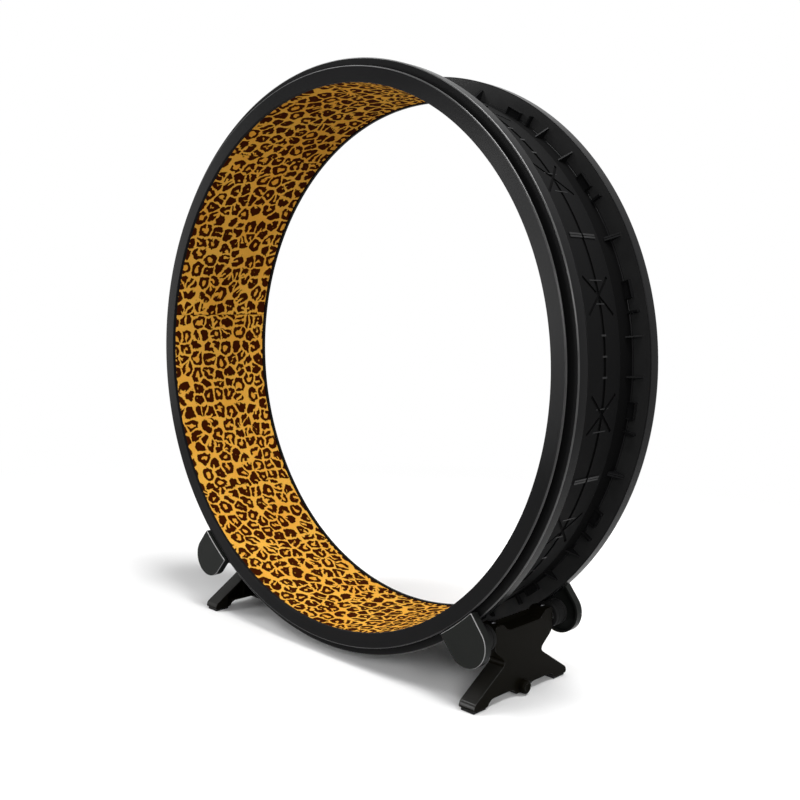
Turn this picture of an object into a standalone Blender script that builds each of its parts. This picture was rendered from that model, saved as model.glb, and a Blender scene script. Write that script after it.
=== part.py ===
"""Cat exercise wheel: an open running ring on four rollers, held by two X-shaped stands.

Units are metres, +Z is up. The origin is on the floor, under the middle of the stands:
+X runs across the open ring, -Y is the front. The ring turns about the Y direction.
"""

import math

import bmesh
import bpy
from mathutils import Matrix, Vector

# Clearances
GAP = 0.0003                    # between neighbours that touch on the real wheel
COVER_RUN = 0.0020              # between the front flange and a roller cover's hollow edge
CUT_PAST = 0.0050               # a cutter runs this far past the face it opens
JOIN = 0.0010                   # a shape that is joined on starts this deep in its neighbour

# Running ring, measured inwards from the track that runs on the rollers
BAND_RADIUS = 0.400             # the track: the ring's largest radius
FLANGE_DROP = 0.0110            # to the outer edge of the flat face
GROOVE_DROP = 0.0180            # to the floor of the groove between face and track
STRIP_DROP = 0.0217             # to the raised middle strip of the drum
CHANNEL_DROP = 0.0255           # to the sunk channel between track and middle strip
DRUM_WALL = 0.0012              # of the channel; inside it is the seat of the mat
LIP_HEIGHT = 0.0052             # of the ring's two edges, over that seat

# Running ring, depths measured from its face
RING_DEPTH = 0.1885
FLANGE_THICKNESS = 0.0030
LIP_THICKNESS = 0.0050
BAND_START = 0.0087
BAND_WIDTH = 0.0178
BAND_WALL = 0.0028
STRIP_WIDTH = 0.0685            # both halves together
LAP_LENGTH = 0.0040

RING_PARTS = 8                  # moulded arcs in each half
RING_JOINT = math.radians(26.7)  # angle of one joint, from +X towards +Z
ARC_STEPS = 8
WHEEL_BOTTOM = 0.0123           # space under the ring
WHEEL_FORWARD = 0.0040          # the ring stands this far forward, within its side play

# Splice tongue that joins one arc to the next, inside the hollow track
TONGUE_REACH = 0.0120
TONGUE_ROOT = 0.0080
TONGUE_HOLD = 0.0040            # of the root's length, how much the tongue shares
TONGUE_LOW = 0.0012             # the tongue stays this far under the track's wall

# Running mat
MAT_THICKNESS = 0.0033
MAT_JOINT = math.radians(37.3)

# Rollers
ROLLER_RADIUS = 0.0172
ROLLER_LENGTH = 0.0240
ROLLER_CHAMFER = 0.0010
ROLLER_ANGLE = math.radians(39.1)   # from straight down
ROLLER_SET_IN = 0.00115         # middle of a roller, inwards from the middle of the track
ROLLER_SIDE = 0.0035            # space at each end, to the stand and to the cover
ROLLER_STEPS = 20
BEARING_RADIUS = 0.0110
BEARING_WIDTH = 0.0070
BEARING_SHOULDER = 0.0020       # step behind each bearing
BEARING_STEPS = 16
AXLE_RADIUS = 0.0040
AXLE_HEX_STEP = 0.0002          # the hexagon's corners pass through the bearings
AXLE_STEPS = 16
AXLE_SOCKET_DEPTH = 0.0185

# Roller covers
COVER_PAST_ROLLER = 0.0133      # outside of the cover, from the roller's surface
COVER_DEPTH = 0.01225
COVER_PLATE = 0.0035
COVER_WALL = 0.0030
COVER_BOSS_WALL = 0.0034
COVER_BOSS_SHORT = 0.0008       # boss ends this far inside the cover's open edge
COVER_SOCKET_DEPTH = 0.0075
COVER_ARC_STEPS = 10
COVER_TOP_STEPS = 4

# Stands: heights from the floor or from the axles, lengths from the arm's end
STAND_THICKNESS = 0.0250
TOE_HEIGHT = 0.0110
TOE_PAST_ARM = 0.0375
WAIST_INSIDE_ARM = 0.0250
WAIST_BELOW_AXLE = 0.0373
ARM_BELOW_AXLE = 0.0173
ARM_ABOVE_AXLE = 0.0147
ARM_TOP_LENGTH = 0.0150
VALLEY_SLOPE = 0.0110           # length of the slope from the arm's top to the valley
VALLEY_DROP = 0.0105
SOLE_LENGTH = 0.0275            # flat under each toe
ARCH_INNER = 0.0140             # where the arch starts, from the middle
ARCH_HEIGHT = 0.0080
ARCH_STEPS = 6
STAND_OUTER_WALL = 0.0050
STAND_EDGE_WALL = 0.0035
POCKET_PAST_ARCH = 0.0085       # each foot is hollowed this far past its arch, less a wall
RIB_THICKNESS = 0.0030
RIB_SPACING = 0.0430
AXLE_BOSS_WALL = 0.0044
AXLE_BOSS_SPARE = 0.0040        # boss runs this far past the axle's socket

# Foot pads
PAD_THICKNESS = 0.0030
PAD_SIDE = 0.0020               # pad stands back from the sole's edges

# Plug low in the middle of each stand
PLUG_HEIGHT = 0.0110            # of its axis, above the floor
PLUG_RADIUS = 0.0040            # of its stem
PLUG_HEAD_EDGE = 0.0050         # of the head, past the stem
PLUG_HEAD_LENGTH = 0.0110
PLUG_BOSS_WALL = 0.0032
PLUG_STEPS = 16

# Screws that lock the axles in the stands
SCREW_RADIUS = 0.0020
SCREW_HEAD_EDGE = 0.0020        # of the head, past the thread
SCREW_HEAD_HEIGHT = 0.0024
SCREW_KEY_RADIUS = 0.0015
SCREW_KEY_DEPTH = 0.0014
SCREW_INSET = 0.0080            # from the arm's end face
SCREW_STEPS = 12

SHARP_ANGLE = math.radians(40)  # edges steeper than this stay crisp

# Ring and rollers, worked out from the sizes above
FLANGE_RADIUS = BAND_RADIUS - FLANGE_DROP
GROOVE_RADIUS = BAND_RADIUS - GROOVE_DROP
STRIP_RADIUS = BAND_RADIUS - STRIP_DROP
CHANNEL_RADIUS = BAND_RADIUS - CHANNEL_DROP
SEAT_RADIUS = CHANNEL_RADIUS - DRUM_WALL
LAP_RADIUS = (SEAT_RADIUS + STRIP_RADIUS) / 2
LIP_RADIUS = SEAT_RADIUS - LIP_HEIGHT
RING_HALF = RING_DEPTH / 2
BAND_MIDDLE = RING_HALF - BAND_START - BAND_WIDTH / 2
WHEEL_CENTRE = Vector((0.0, -WHEEL_FORWARD, WHEEL_BOTTOM + BAND_RADIUS))
ROLLER_AXIS_RADIUS = BAND_RADIUS + GAP + ROLLER_RADIUS
ROLLER_X = ROLLER_AXIS_RADIUS * math.sin(ROLLER_ANGLE)
ROLLER_Z = WHEEL_CENTRE.z - ROLLER_AXIS_RADIUS * math.cos(ROLLER_ANGLE)
ROLLER_MID = BAND_MIDDLE - ROLLER_SET_IN
AXLE_HEX_RADIUS = AXLE_RADIUS - AXLE_HEX_STEP
AXLE_FLAT = AXLE_HEX_RADIUS * math.cos(math.pi / 6)
FLAT_ON_TOP = math.pi / 6       # turn of a hexagon that brings one of its flats level

# Covers and stands, worked out from the sizes above
COVER_RADIUS = ROLLER_RADIUS + COVER_PAST_ROLLER
COVER_OPEN = ROLLER_MID + ROLLER_LENGTH / 2 + ROLLER_SIDE
COVER_FACE = COVER_OPEN + COVER_DEPTH
STAND_BASE = PAD_THICKNESS + GAP
ARM_HALF = ROLLER_MID - ROLLER_LENGTH / 2 - ROLLER_SIDE
ARM_TOP = ROLLER_Z + ARM_ABOVE_AXLE
STAND_HALF_LENGTH = ARM_HALF + TOE_PAST_ARM
ARCH_OUTER = STAND_HALF_LENGTH - SOLE_LENGTH
STAND_INNER = ROLLER_X - STAND_THICKNESS / 2
STAND_OUTER = ROLLER_X + STAND_THICKNESS / 2

SIDES = {"left": -1, "right": 1}
ENDS = {"front": -1, "rear": 1}


def clear_scene():
    """Remove every object, so that the file holds only the wheel."""
    for item in list(bpy.data.objects):
        bpy.data.objects.remove(item, do_unlink=True)


def make_material(name, colour, roughness, metallic=0.0):
    """Return a plain Principled material."""
    material = bpy.data.materials.new(name)
    material.use_nodes = True
    shader = material.node_tree.nodes["Principled BSDF"]
    shader.inputs["Base Color"].default_value = (*colour, 1.0)
    shader.inputs["Roughness"].default_value = roughness
    shader.inputs["Metallic"].default_value = metallic
    return material


def new_object(name, bm, material=None, smooth=False):
    """Turn a bmesh into an object and link it to the scene."""
    bmesh.ops.recalc_face_normals(bm, faces=bm.faces)
    mesh = bpy.data.meshes.new(name)
    bm.to_mesh(mesh)
    bm.free()
    if smooth:
        mesh.shade_smooth()
        mesh.set_sharp_from_angle(angle=SHARP_ANGLE)
    item = bpy.data.objects.new(name, mesh)
    bpy.context.scene.collection.objects.link(item)
    if material:
        # each sub-part keeps a material of its own
        own = material.copy()
        own.name = name
        mesh.materials.append(own)
    return item


def as_tool(item):
    """Hide an object that only cuts or joins another one."""
    item.hide_render = True
    item.display_type = "WIRE"
    return item


def combine(target, tool, operation):
    """Cut, join or intersect the target with a tool object."""
    modifier = target.modifiers.new(tool.name, "BOOLEAN")
    modifier.operation = operation
    modifier.solver = "EXACT"
    modifier.object = as_tool(tool)


def extrude_outline(points, start, end, place):
    """Extrude a flat outline; place(a, b, depth) gives a point in space."""
    bm = bmesh.new()
    face = bm.faces.new([bm.verts.new(place(a, b, start)) for a, b in points])
    lifted = bmesh.ops.extrude_face_region(bm, geom=[face])
    top = [v for v in lifted["geom"] if isinstance(v, bmesh.types.BMVert)]
    shift = place(0.0, 0.0, end) - place(0.0, 0.0, start)
    bmesh.ops.translate(bm, vec=shift, verts=top)
    return bm


def cylinder(radius, start, end, axis, steps, turn=0.0):
    """Make a closed cylinder along one axis through the origin."""
    bm = bmesh.new()
    bmesh.ops.create_cone(bm, cap_ends=True, segments=steps, radius1=radius,
                          radius2=radius, depth=abs(end - start))
    bmesh.ops.rotate(bm, cent=(0, 0, 0), verts=bm.verts,
                     matrix=Matrix.Rotation(turn, 3, "Z"))
    if axis == "X":
        bmesh.ops.rotate(bm, cent=(0, 0, 0), verts=bm.verts,
                         matrix=Matrix.Rotation(math.pi / 2, 3, "Y"))
    if axis == "Y":
        bmesh.ops.rotate(bm, cent=(0, 0, 0), verts=bm.verts,
                         matrix=Matrix.Rotation(-math.pi / 2, 3, "X"))
    middle = Vector({"X": (1, 0, 0), "Y": (0, 1, 0), "Z": (0, 0, 1)}[axis])
    bmesh.ops.translate(bm, vec=middle * (start + end) / 2, verts=bm.verts)
    return bm


def box(low, high):
    """Make a closed box between two corners."""
    bm = bmesh.new()
    bmesh.ops.create_cube(bm, size=1.0)
    low, high = Vector(low), Vector(high)
    bmesh.ops.scale(bm, vec=high - low, verts=bm.verts)
    bmesh.ops.translate(bm, vec=(low + high) / 2, verts=bm.verts)
    return bm


def turned(profile, steps):
    """Turn a closed (depth, radius) outline a full turn about the Y axis."""
    bm = bmesh.new()
    ring = [bm.verts.new((radius, depth, 0.0)) for depth, radius in profile]
    edges = [bm.edges.new((ring[i - 1], ring[i])) for i in range(len(ring))]
    bmesh.ops.spin(bm, geom=ring + edges, cent=(0, 0, 0), axis=(0, 1, 0),
                   angle=math.tau, steps=steps, use_merge=True)
    return bm


def arc_solid(profile, start, sweep, steps):
    """Sweep a closed (depth, radius) outline round the Y axis, and cap both ends."""
    bm = bmesh.new()
    ring = [bm.verts.new((radius * math.cos(start), depth, radius * math.sin(start)))
            for depth, radius in profile]
    first = bm.faces.new(ring)
    bmesh.ops.spin(bm, geom=[first], cent=(0, 0, 0), axis=(0, -1, 0), angle=sweep, steps=steps)
    return bm


def rim_profile(front):
    """Outline of one half of the ring as (depth, radius), from its face to the seam."""
    step = RING_HALF - STRIP_WIDTH / 2
    seam = RING_HALF - GAP / 2
    band_end = BAND_START + BAND_WIDTH
    points = [
        (0.0, LIP_RADIUS),
        (0.0, FLANGE_RADIUS),
        (FLANGE_THICKNESS, FLANGE_RADIUS),
        (FLANGE_THICKNESS, GROOVE_RADIUS),
        (BAND_START, GROOVE_RADIUS),
        (BAND_START, BAND_RADIUS),
        (band_end, BAND_RADIUS),
        (band_end, CHANNEL_RADIUS),
        (step, CHANNEL_RADIUS),
        (step, STRIP_RADIUS),
        (seam, STRIP_RADIUS),
    ]
    if front:
        points += [(seam, LAP_RADIUS + GAP / 2),
                   (seam - LAP_LENGTH, LAP_RADIUS + GAP / 2),
                   (seam - LAP_LENGTH, SEAT_RADIUS)]
    else:
        points += [(seam, LAP_RADIUS - GAP / 2),
                   (seam + LAP_LENGTH, LAP_RADIUS - GAP / 2),
                   (seam + LAP_LENGTH, SEAT_RADIUS)]
    points += [
        (band_end - BAND_WALL, SEAT_RADIUS),
        (band_end - BAND_WALL, BAND_RADIUS - BAND_WALL),
        (BAND_START + BAND_WALL, BAND_RADIUS - BAND_WALL),
        (BAND_START + BAND_WALL, SEAT_RADIUS),
        (LIP_THICKNESS, SEAT_RADIUS),
        (LIP_THICKNESS, LIP_RADIUS),
    ]
    return points


def in_ring(depth, front):
    """Turn a depth from a face into a distance from the ring's middle plane."""
    return depth - RING_HALF if front else RING_HALF - depth


def splice_block(name, angle, front, ahead, behind, side, top):
    """Block inside the hollow track at one joint; ahead and behind are along the ring."""
    depths = [in_ring(BAND_START + BAND_WALL + side, front),
              in_ring(BAND_START + BAND_WIDTH - BAND_WALL - side, front)]
    bm = box((SEAT_RADIUS + GAP, min(depths), -behind), (top, max(depths), ahead))
    bmesh.ops.rotate(bm, cent=(0, 0, 0), verts=bm.verts,
                     matrix=Matrix.Rotation(-angle, 3, "Y"))
    return new_object(name, bm)


def make_rims(material, axis):
    """Build the moulded arcs of both halves, each with a tongue into its neighbour."""
    pitch = math.tau / RING_PARTS
    slit = GAP / BAND_RADIUS
    under_track = BAND_RADIUS - BAND_WALL
    for half, front in (("front", True), ("rear", False)):
        profile = [(in_ring(depth, front), radius) for depth, radius in rim_profile(front)]
        for index in range(RING_PARTS):
            start = RING_JOINT + index * pitch + slit / 2
            end = start + pitch - slit
            name = f"{half}_rim_{index + 1}"
            rim = new_object(name, arc_solid(profile, start, pitch - slit, ARC_STEPS),
                             material, smooth=True)
            root = splice_block(name + "_root", end, front, -GAP, TONGUE_ROOT,
                                -JOIN, under_track + JOIN)
            tongue = splice_block(name + "_tongue", end, front, TONGUE_REACH,
                                  TONGUE_HOLD, GAP, under_track - TONGUE_LOW)
            for tool in (root, tongue):
                tool.parent = axis
                combine(rim, tool, "UNION")
            rim.parent = axis


def make_mats(material, axis):
    """Build the strips of the running mat, which lie between the two lips."""
    pitch = math.tau / RING_PARTS
    slit = GAP / SEAT_RADIUS
    half = RING_HALF - LIP_THICKNESS - GAP
    # the drum's facets don't line up with the mat's, so the mat clears their middles
    outer = SEAT_RADIUS * math.cos(pitch / ARC_STEPS / 2) - GAP
    inner = outer - MAT_THICKNESS
    profile = [(-half, inner), (-half, outer), (half, outer), (half, inner)]
    for index in range(RING_PARTS):
        start = MAT_JOINT + index * pitch + slit / 2
        mat = new_object(f"running_mat_{index + 1}",
                         arc_solid(profile, start, pitch - slit, ARC_STEPS),
                         material, smooth=True)
        mat.parent = axis


def roller_place(side, end):
    """Frame of one roller unit: its +Z points at the wheel's axis, its +Y inwards."""
    turn = Matrix.Rotation(-side * ROLLER_ANGLE, 4, "Y")
    if end > 0:
        turn = turn @ Matrix.Rotation(math.pi, 4, "Z")
    return Matrix.Translation((side * ROLLER_X, 0.0, ROLLER_Z)) @ turn


def cover_outline(inset):
    """Outline of a roller cover: a half circle below, a hollow edge along the ring above."""
    half = COVER_RADIUS - inset
    hollow = FLANGE_RADIUS + COVER_RUN + inset
    points = []
    for step in range(COVER_ARC_STEPS + 1):
        angle = math.pi + math.pi * step / COVER_ARC_STEPS
        points.append((half * math.cos(angle), half * math.sin(angle)))
    for step in range(COVER_TOP_STEPS + 1):
        across = half - 2 * half * step / COVER_TOP_STEPS
        points.append((across, ROLLER_AXIS_RADIUS - math.sqrt(hollow ** 2 - across ** 2)))
    return points


def make_cover(name, side, end, material):
    """Build one roller cover: a shallow cup with a boss for the axle's hexagon."""
    def place(a, b, depth):
        return Vector((a, depth, b))

    def tool(label, bm):
        item = new_object(f"{name}_{label}", bm)
        item.matrix_world = roller_place(side, end)
        return item

    cover = new_object(name, extrude_outline(cover_outline(0.0), -COVER_FACE, -COVER_OPEN,
                                             place), material, smooth=True)
    cover.matrix_world = roller_place(side, end)
    floor = -COVER_FACE + COVER_PLATE
    hollow = extrude_outline(cover_outline(COVER_WALL), floor, 0.0, place)
    boss = cylinder(AXLE_HEX_RADIUS + GAP + COVER_BOSS_WALL, floor - JOIN,
                    -COVER_OPEN - COVER_BOSS_SHORT, "Y", AXLE_STEPS)
    # the hexagon keeps a flat on top in the stand, so the cover's socket is turned back
    keyed = cylinder(AXLE_HEX_RADIUS + GAP, -COVER_OPEN - COVER_SOCKET_DEPTH, 0.0, "Y", 6,
                     hexagon_turn(side, end))
    combine(cover, tool("hollow", hollow), "DIFFERENCE")
    combine(cover, tool("boss", boss), "UNION")
    combine(cover, tool("socket", keyed), "DIFFERENCE")


def hexagon_turn(side, end):
    """Turn of a hexagon inside a roller unit that brings one of its flats level."""
    return FLAT_ON_TOP - side * end * ROLLER_ANGLE


def roller_profile():
    """Outline of a roller sleeve, with a seat for a bearing at each end."""
    half = ROLLER_LENGTH / 2
    seat = half - BEARING_WIDTH - GAP
    bore = BEARING_RADIUS + GAP
    shoulder = BEARING_RADIUS - BEARING_SHOULDER
    return [(-half, bore), (-half, ROLLER_RADIUS - ROLLER_CHAMFER),
            (-half + ROLLER_CHAMFER, ROLLER_RADIUS), (half - ROLLER_CHAMFER, ROLLER_RADIUS),
            (half, ROLLER_RADIUS - ROLLER_CHAMFER), (half, bore), (seat, bore),
            (seat, shoulder), (-seat, shoulder), (-seat, bore)]


def make_roller(name, side, end, materials):
    """Build one roller with its two bearings, on an empty that marks its axis."""
    axis = bpy.data.objects.new(f"{name}_axis", None)
    axis.location = (side * ROLLER_X, end * ROLLER_MID, ROLLER_Z)
    bpy.context.scene.collection.objects.link(axis)
    sleeve = new_object(f"{name}_roller", turned(roller_profile(), ROLLER_STEPS),
                        materials["roller"], smooth=True)
    sleeve.parent = axis
    half = BEARING_WIDTH / 2
    bore = AXLE_RADIUS + GAP
    ring = [(-half, bore), (-half, BEARING_RADIUS), (half, BEARING_RADIUS), (half, bore)]
    for label, way in (("outer", 1), ("inner", -1)):
        bearing = new_object(f"{name}_{label}_bearing", turned(ring, BEARING_STEPS),
                             materials["bearing"], smooth=True)
        bearing.parent = axis
        bearing.location.y = end * way * (ROLLER_LENGTH / 2 - half)


def make_axle(name, side, end, material):
    """Build one axle: round under the bearings, a hexagon in the stand and the cover."""
    inner = ARM_HALF - AXLE_SOCKET_DEPTH + GAP
    outer = COVER_OPEN + COVER_SOCKET_DEPTH - GAP
    shaft = cylinder(AXLE_HEX_RADIUS, end * inner, end * outer, "Y", 6, FLAT_ON_TOP)
    axle = new_object(f"{name}_axle", shaft, material, smooth=True)
    collar = cylinder(AXLE_RADIUS, end * (ARM_HALF + GAP),
                      end * (COVER_OPEN + COVER_BOSS_SHORT - GAP), "Y", AXLE_STEPS)
    sleeve = new_object(f"{name}_axle_round", collar)
    for item in (axle, sleeve):
        item.location = (side * ROLLER_X, 0.0, ROLLER_Z)
    combine(axle, sleeve, "UNION")


def make_axle_screw(name, side, end, material):
    """Build the screw that presses on the axle's flat from the top of the arm."""
    place = (side * ROLLER_X, end * (ARM_HALF - SCREW_INSET), 0.0)
    tip = ROLLER_Z + AXLE_FLAT + GAP
    seat = ARM_TOP + GAP
    screw = new_object(f"{name}_axle_screw",
                       cylinder(SCREW_RADIUS, tip, seat + JOIN, "Z", SCREW_STEPS), material,
                       smooth=True)
    head = new_object(f"{name}_screw_head",
                      cylinder(SCREW_RADIUS + SCREW_HEAD_EDGE, seat, seat + SCREW_HEAD_HEIGHT,
                               "Z", SCREW_STEPS))
    key = new_object(f"{name}_screw_key",
                     cylinder(SCREW_KEY_RADIUS, seat + SCREW_HEAD_HEIGHT - SCREW_KEY_DEPTH,
                              seat + SCREW_HEAD_HEIGHT + CUT_PAST, "Z", 6))
    for item in (screw, head, key):
        item.location = place
    combine(screw, head, "UNION")
    combine(screw, key, "DIFFERENCE")


def stand_outline(reach):
    """Outline of a stand in (y, z): splayed feet cut off at reach, a waist and two arms."""
    waist = ARM_HALF - WAIST_INSIDE_ARM
    waist_height = ROLLER_Z - WAIST_BELOW_AXLE
    slope = (waist_height - TOE_HEIGHT) / (STAND_HALF_LENGTH - waist)
    leg_end = waist_height - slope * (reach - waist)
    arch_mid = (ARCH_INNER + ARCH_OUTER) / 2
    arch_half = (ARCH_OUTER - ARCH_INNER) / 2
    half = []
    for step in range(ARCH_STEPS + 1):
        angle = math.pi - math.pi * step / ARCH_STEPS
        half.append((arch_mid + arch_half * math.cos(angle),
                     STAND_BASE + ARCH_HEIGHT * math.sin(angle)))
    half += [
        (reach, STAND_BASE),
        (reach, leg_end),
        (waist, waist_height),
        (ARM_HALF, ROLLER_Z - ARM_BELOW_AXLE),
        (ARM_HALF, ARM_TOP),
        (ARM_HALF - ARM_TOP_LENGTH, ARM_TOP),
        (ARM_HALF - ARM_TOP_LENGTH - VALLEY_SLOPE, ARM_TOP - VALLEY_DROP),
    ]
    return half + [(-y, z) for y, z in reversed(half)]


def stand_pocket(name, side):
    """Hollow of a stand's back: the outline drawn in, less its ribs and bosses."""
    floor = STAND_OUTER - STAND_OUTER_WALL
    bm = bmesh.new()
    outline = stand_outline(ARCH_OUTER + POCKET_PAST_ARCH)
    face = bm.faces.new([bm.verts.new((side * (STAND_INNER - CUT_PAST), y, z))
                         for y, z in outline])
    bm.normal_update()
    bmesh.ops.inset_individual(bm, faces=[face], thickness=STAND_EDGE_WALL,
                               use_even_offset=True)
    bmesh.ops.delete(bm, geom=[f for f in bm.faces if f is not face], context="FACES")
    lifted = bmesh.ops.extrude_face_region(bm, geom=[face])
    top = [v for v in lifted["geom"] if isinstance(v, bmesh.types.BMVert)]
    depth = floor - STAND_INNER + CUT_PAST
    bmesh.ops.translate(bm, vec=(side * depth, 0, 0), verts=top)
    pocket = new_object(name + "_pocket", bm)

    near, far = sorted((side * (STAND_INNER - 2 * CUT_PAST), side * (floor + CUT_PAST)))
    for index in (-1, 0, 1):
        middle = index * RIB_SPACING
        rib = new_object(f"{name}_rib_{index + 1}",
                         box((near, middle - RIB_THICKNESS / 2, 0.0),
                             (far, middle + RIB_THICKNESS / 2, ARM_TOP + CUT_PAST)))
        combine(pocket, rib, "DIFFERENCE")
    radius = AXLE_HEX_RADIUS + GAP + AXLE_BOSS_WALL
    inner, outer = ARM_HALF - AXLE_SOCKET_DEPTH - AXLE_BOSS_SPARE, ARM_HALF + CUT_PAST
    backs = sorted((side * ROLLER_X, side * (floor + CUT_PAST)))
    for label, end in ENDS.items():
        boss = new_object(f"{name}_{label}_boss",
                          cylinder(radius, end * inner, end * outer, "Y", AXLE_STEPS))
        boss.location = (side * ROLLER_X, 0.0, ROLLER_Z)
        # behind the boss, the moulding is solid out to the stand's outer wall
        ends = sorted((end * inner, end * outer))
        back = new_object(f"{name}_{label}_back",
                          box((backs[0], ends[0], ROLLER_Z - radius),
                              (backs[1], ends[1], ARM_TOP + CUT_PAST)))
        combine(pocket, boss, "DIFFERENCE")
        combine(pocket, back, "DIFFERENCE")
    boss = new_object(name + "_plug_boss",
                      cylinder(PLUG_RADIUS + GAP + PLUG_BOSS_WALL, near, far, "X", PLUG_STEPS))
    boss.location = (0.0, 0.0, PLUG_HEIGHT)
    combine(pocket, boss, "DIFFERENCE")
    return pocket


def make_stand(name, side, material):
    """Build one stand: a ribbed moulding with a hexagon socket in each arm."""
    def place(a, b, depth):
        return Vector((side * depth, a, b))

    stand = new_object(name, extrude_outline(stand_outline(STAND_HALF_LENGTH), STAND_INNER,
                                             STAND_OUTER, place), material)
    combine(stand, stand_pocket(name, side), "DIFFERENCE")
    for label, end in ENDS.items():
        socket = new_object(f"{name}_{label}_socket",
                            cylinder(AXLE_HEX_RADIUS + GAP, end * (ARM_HALF - AXLE_SOCKET_DEPTH),
                                     end * (ARM_HALF + CUT_PAST), "Y", 6, FLAT_ON_TOP))
        socket.location = (side * ROLLER_X, 0.0, ROLLER_Z)
        combine(stand, socket, "DIFFERENCE")
        hole = new_object(f"{name}_{label}_screw_hole",
                          cylinder(SCREW_RADIUS + GAP, ROLLER_Z, ARM_TOP + CUT_PAST, "Z",
                                   SCREW_STEPS))
        hole.location = (side * ROLLER_X, end * (ARM_HALF - SCREW_INSET), 0.0)
        combine(stand, hole, "DIFFERENCE")
    bore = new_object(name + "_plug_bore",
                      cylinder(PLUG_RADIUS + GAP, side * (STAND_INNER - CUT_PAST),
                               side * (STAND_OUTER + CUT_PAST), "X", PLUG_STEPS))
    bore.location = (0.0, 0.0, PLUG_HEIGHT)
    combine(stand, bore, "DIFFERENCE")


def make_foot_pad(name, side, end, material):
    """Build one rubber pad under a toe."""
    half = STAND_THICKNESS / 2 - PAD_SIDE
    near, far = sorted((end * (ARCH_OUTER + PAD_SIDE), end * (STAND_HALF_LENGTH - PAD_SIDE)))
    new_object(name, box((side * ROLLER_X - half, near, 0.0),
                         (side * ROLLER_X + half, far, PAD_THICKNESS)), material)


def make_plug(name, side, material):
    """Build the plug of one stand: a round head outside, and a stem through the boss."""
    seat = STAND_OUTER + GAP
    plug = new_object(name, cylinder(PLUG_RADIUS, side * STAND_INNER, side * (seat + JOIN), "X",
                                     PLUG_STEPS), material, smooth=True)
    head = new_object(name + "_head",
                      cylinder(PLUG_RADIUS + PLUG_HEAD_EDGE, side * seat,
                               side * (seat + PLUG_HEAD_LENGTH), "X", PLUG_STEPS))
    for item in (plug, head):
        item.location = (0.0, 0.0, PLUG_HEIGHT)
    combine(plug, head, "UNION")


def main():
    """Build the whole wheel."""
    clear_scene()
    plastic = make_material("ring_plastic", (0.045, 0.045, 0.048), 0.42)
    stand_plastic = make_material("stand_plastic", (0.018, 0.017, 0.016), 0.45)
    mat_fabric = make_material("leopard_mat", (0.78, 0.43, 0.06), 0.85)
    rubber = make_material("rubber", (0.02, 0.02, 0.02), 0.8)
    steel = make_material("steel", (0.62, 0.62, 0.64), 0.3, 1.0)
    grey = make_material("roller_grey", (0.10, 0.10, 0.105), 0.5)

    axis = bpy.data.objects.new("wheel_axis", None)
    axis.location = WHEEL_CENTRE
    bpy.context.scene.collection.objects.link(axis)
    make_rims(plastic, axis)
    make_mats(mat_fabric, axis)

    for side_name, side in SIDES.items():
        make_stand(f"{side_name}_stand", side, stand_plastic)
        make_plug(f"{side_name}_plug", side, stand_plastic)
        for end_name, end in ENDS.items():
            name = f"{side_name}_{end_name}"
            make_cover(f"{name}_cover", side, end, plastic)
            make_roller(name, side, end, {"roller": grey, "bearing": steel})
            make_axle(name, side, end, steel)
            make_axle_screw(name, side, end, steel)
            make_foot_pad(f"{name}_foot_pad", side, end, rubber)
    bpy.context.view_layer.update()


main()
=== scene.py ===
"""Looks of the cat exercise wheel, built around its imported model.

Every length is in metres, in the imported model's own frame: the origin is on the floor
under the middle of the stands, +X runs across the open ring, -Y is the front, +Z is up.
"""

import logging
import math
from dataclasses import dataclass
from enum import Enum
from typing import Any, Callable, Sequence

import bmesh
import bpy
from bmesh.types import BMesh, BMFace, BMVert
from bpy.types import ID, Material, Mesh, Node, NodeSocket, NodeTree, Object
from mathutils import Matrix, Vector


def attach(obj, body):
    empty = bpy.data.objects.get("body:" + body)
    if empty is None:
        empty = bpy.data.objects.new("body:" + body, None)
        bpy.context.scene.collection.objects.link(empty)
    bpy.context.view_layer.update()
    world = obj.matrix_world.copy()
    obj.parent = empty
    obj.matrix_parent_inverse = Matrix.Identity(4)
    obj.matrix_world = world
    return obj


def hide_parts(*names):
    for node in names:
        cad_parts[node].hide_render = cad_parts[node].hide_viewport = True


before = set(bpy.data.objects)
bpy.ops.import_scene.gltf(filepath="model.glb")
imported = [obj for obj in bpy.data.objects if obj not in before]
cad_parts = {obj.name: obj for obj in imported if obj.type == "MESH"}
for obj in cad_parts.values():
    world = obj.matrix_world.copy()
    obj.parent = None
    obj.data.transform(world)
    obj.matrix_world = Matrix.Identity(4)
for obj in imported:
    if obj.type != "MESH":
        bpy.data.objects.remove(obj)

Pair = tuple[float, float]
Triple = tuple[float, float, float]
Floats = tuple[float, ...]

LOG = logging.getLogger("cat_wheel")
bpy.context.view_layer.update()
PAINTED_LIGHT = "polish"               # face attribute: 1 where an edge gets a full painted highlight, -1 where a recess gets full painted shade
MAT_MAP = "mat_map"             # UV map of the running mat, in metres
SHARP_ANGLE = math.radians(35)
MERGE = 1e-6                    # points of a turned solid that are nearer become one
TINY = 1e-7                     # nearer than this is the same place
LEVEL_HEX = math.pi / 6         # turn that brings a flat of a hexagon level


class Named(Enum):
    """A choice whose name is part of the nodes' names."""

    @property
    def label(self) -> str:
        """Name used in the nodes."""
        return self.name.lower()


class End(Named):
    """Front or rear of the wheel, with its sign along Y."""

    FRONT = -1
    REAR = 1


class Side(Named):
    """Left or right stand, with its sign along X."""

    LEFT = -1
    RIGHT = 1


class Axis(Enum):
    """Axis that a bar lies on, with its direction."""

    X = (1, 0, 0)
    Y = (0, 1, 0)
    Z = (0, 0, 1)


class Join(Enum):
    """Ways to combine two solids."""

    UNION = "UNION"
    DIFFERENCE = "DIFFERENCE"


class Rounded(Enum):
    """What a rounding works on."""

    EDGES = "EDGES"
    CORNERS = "VERTICES"


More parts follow.
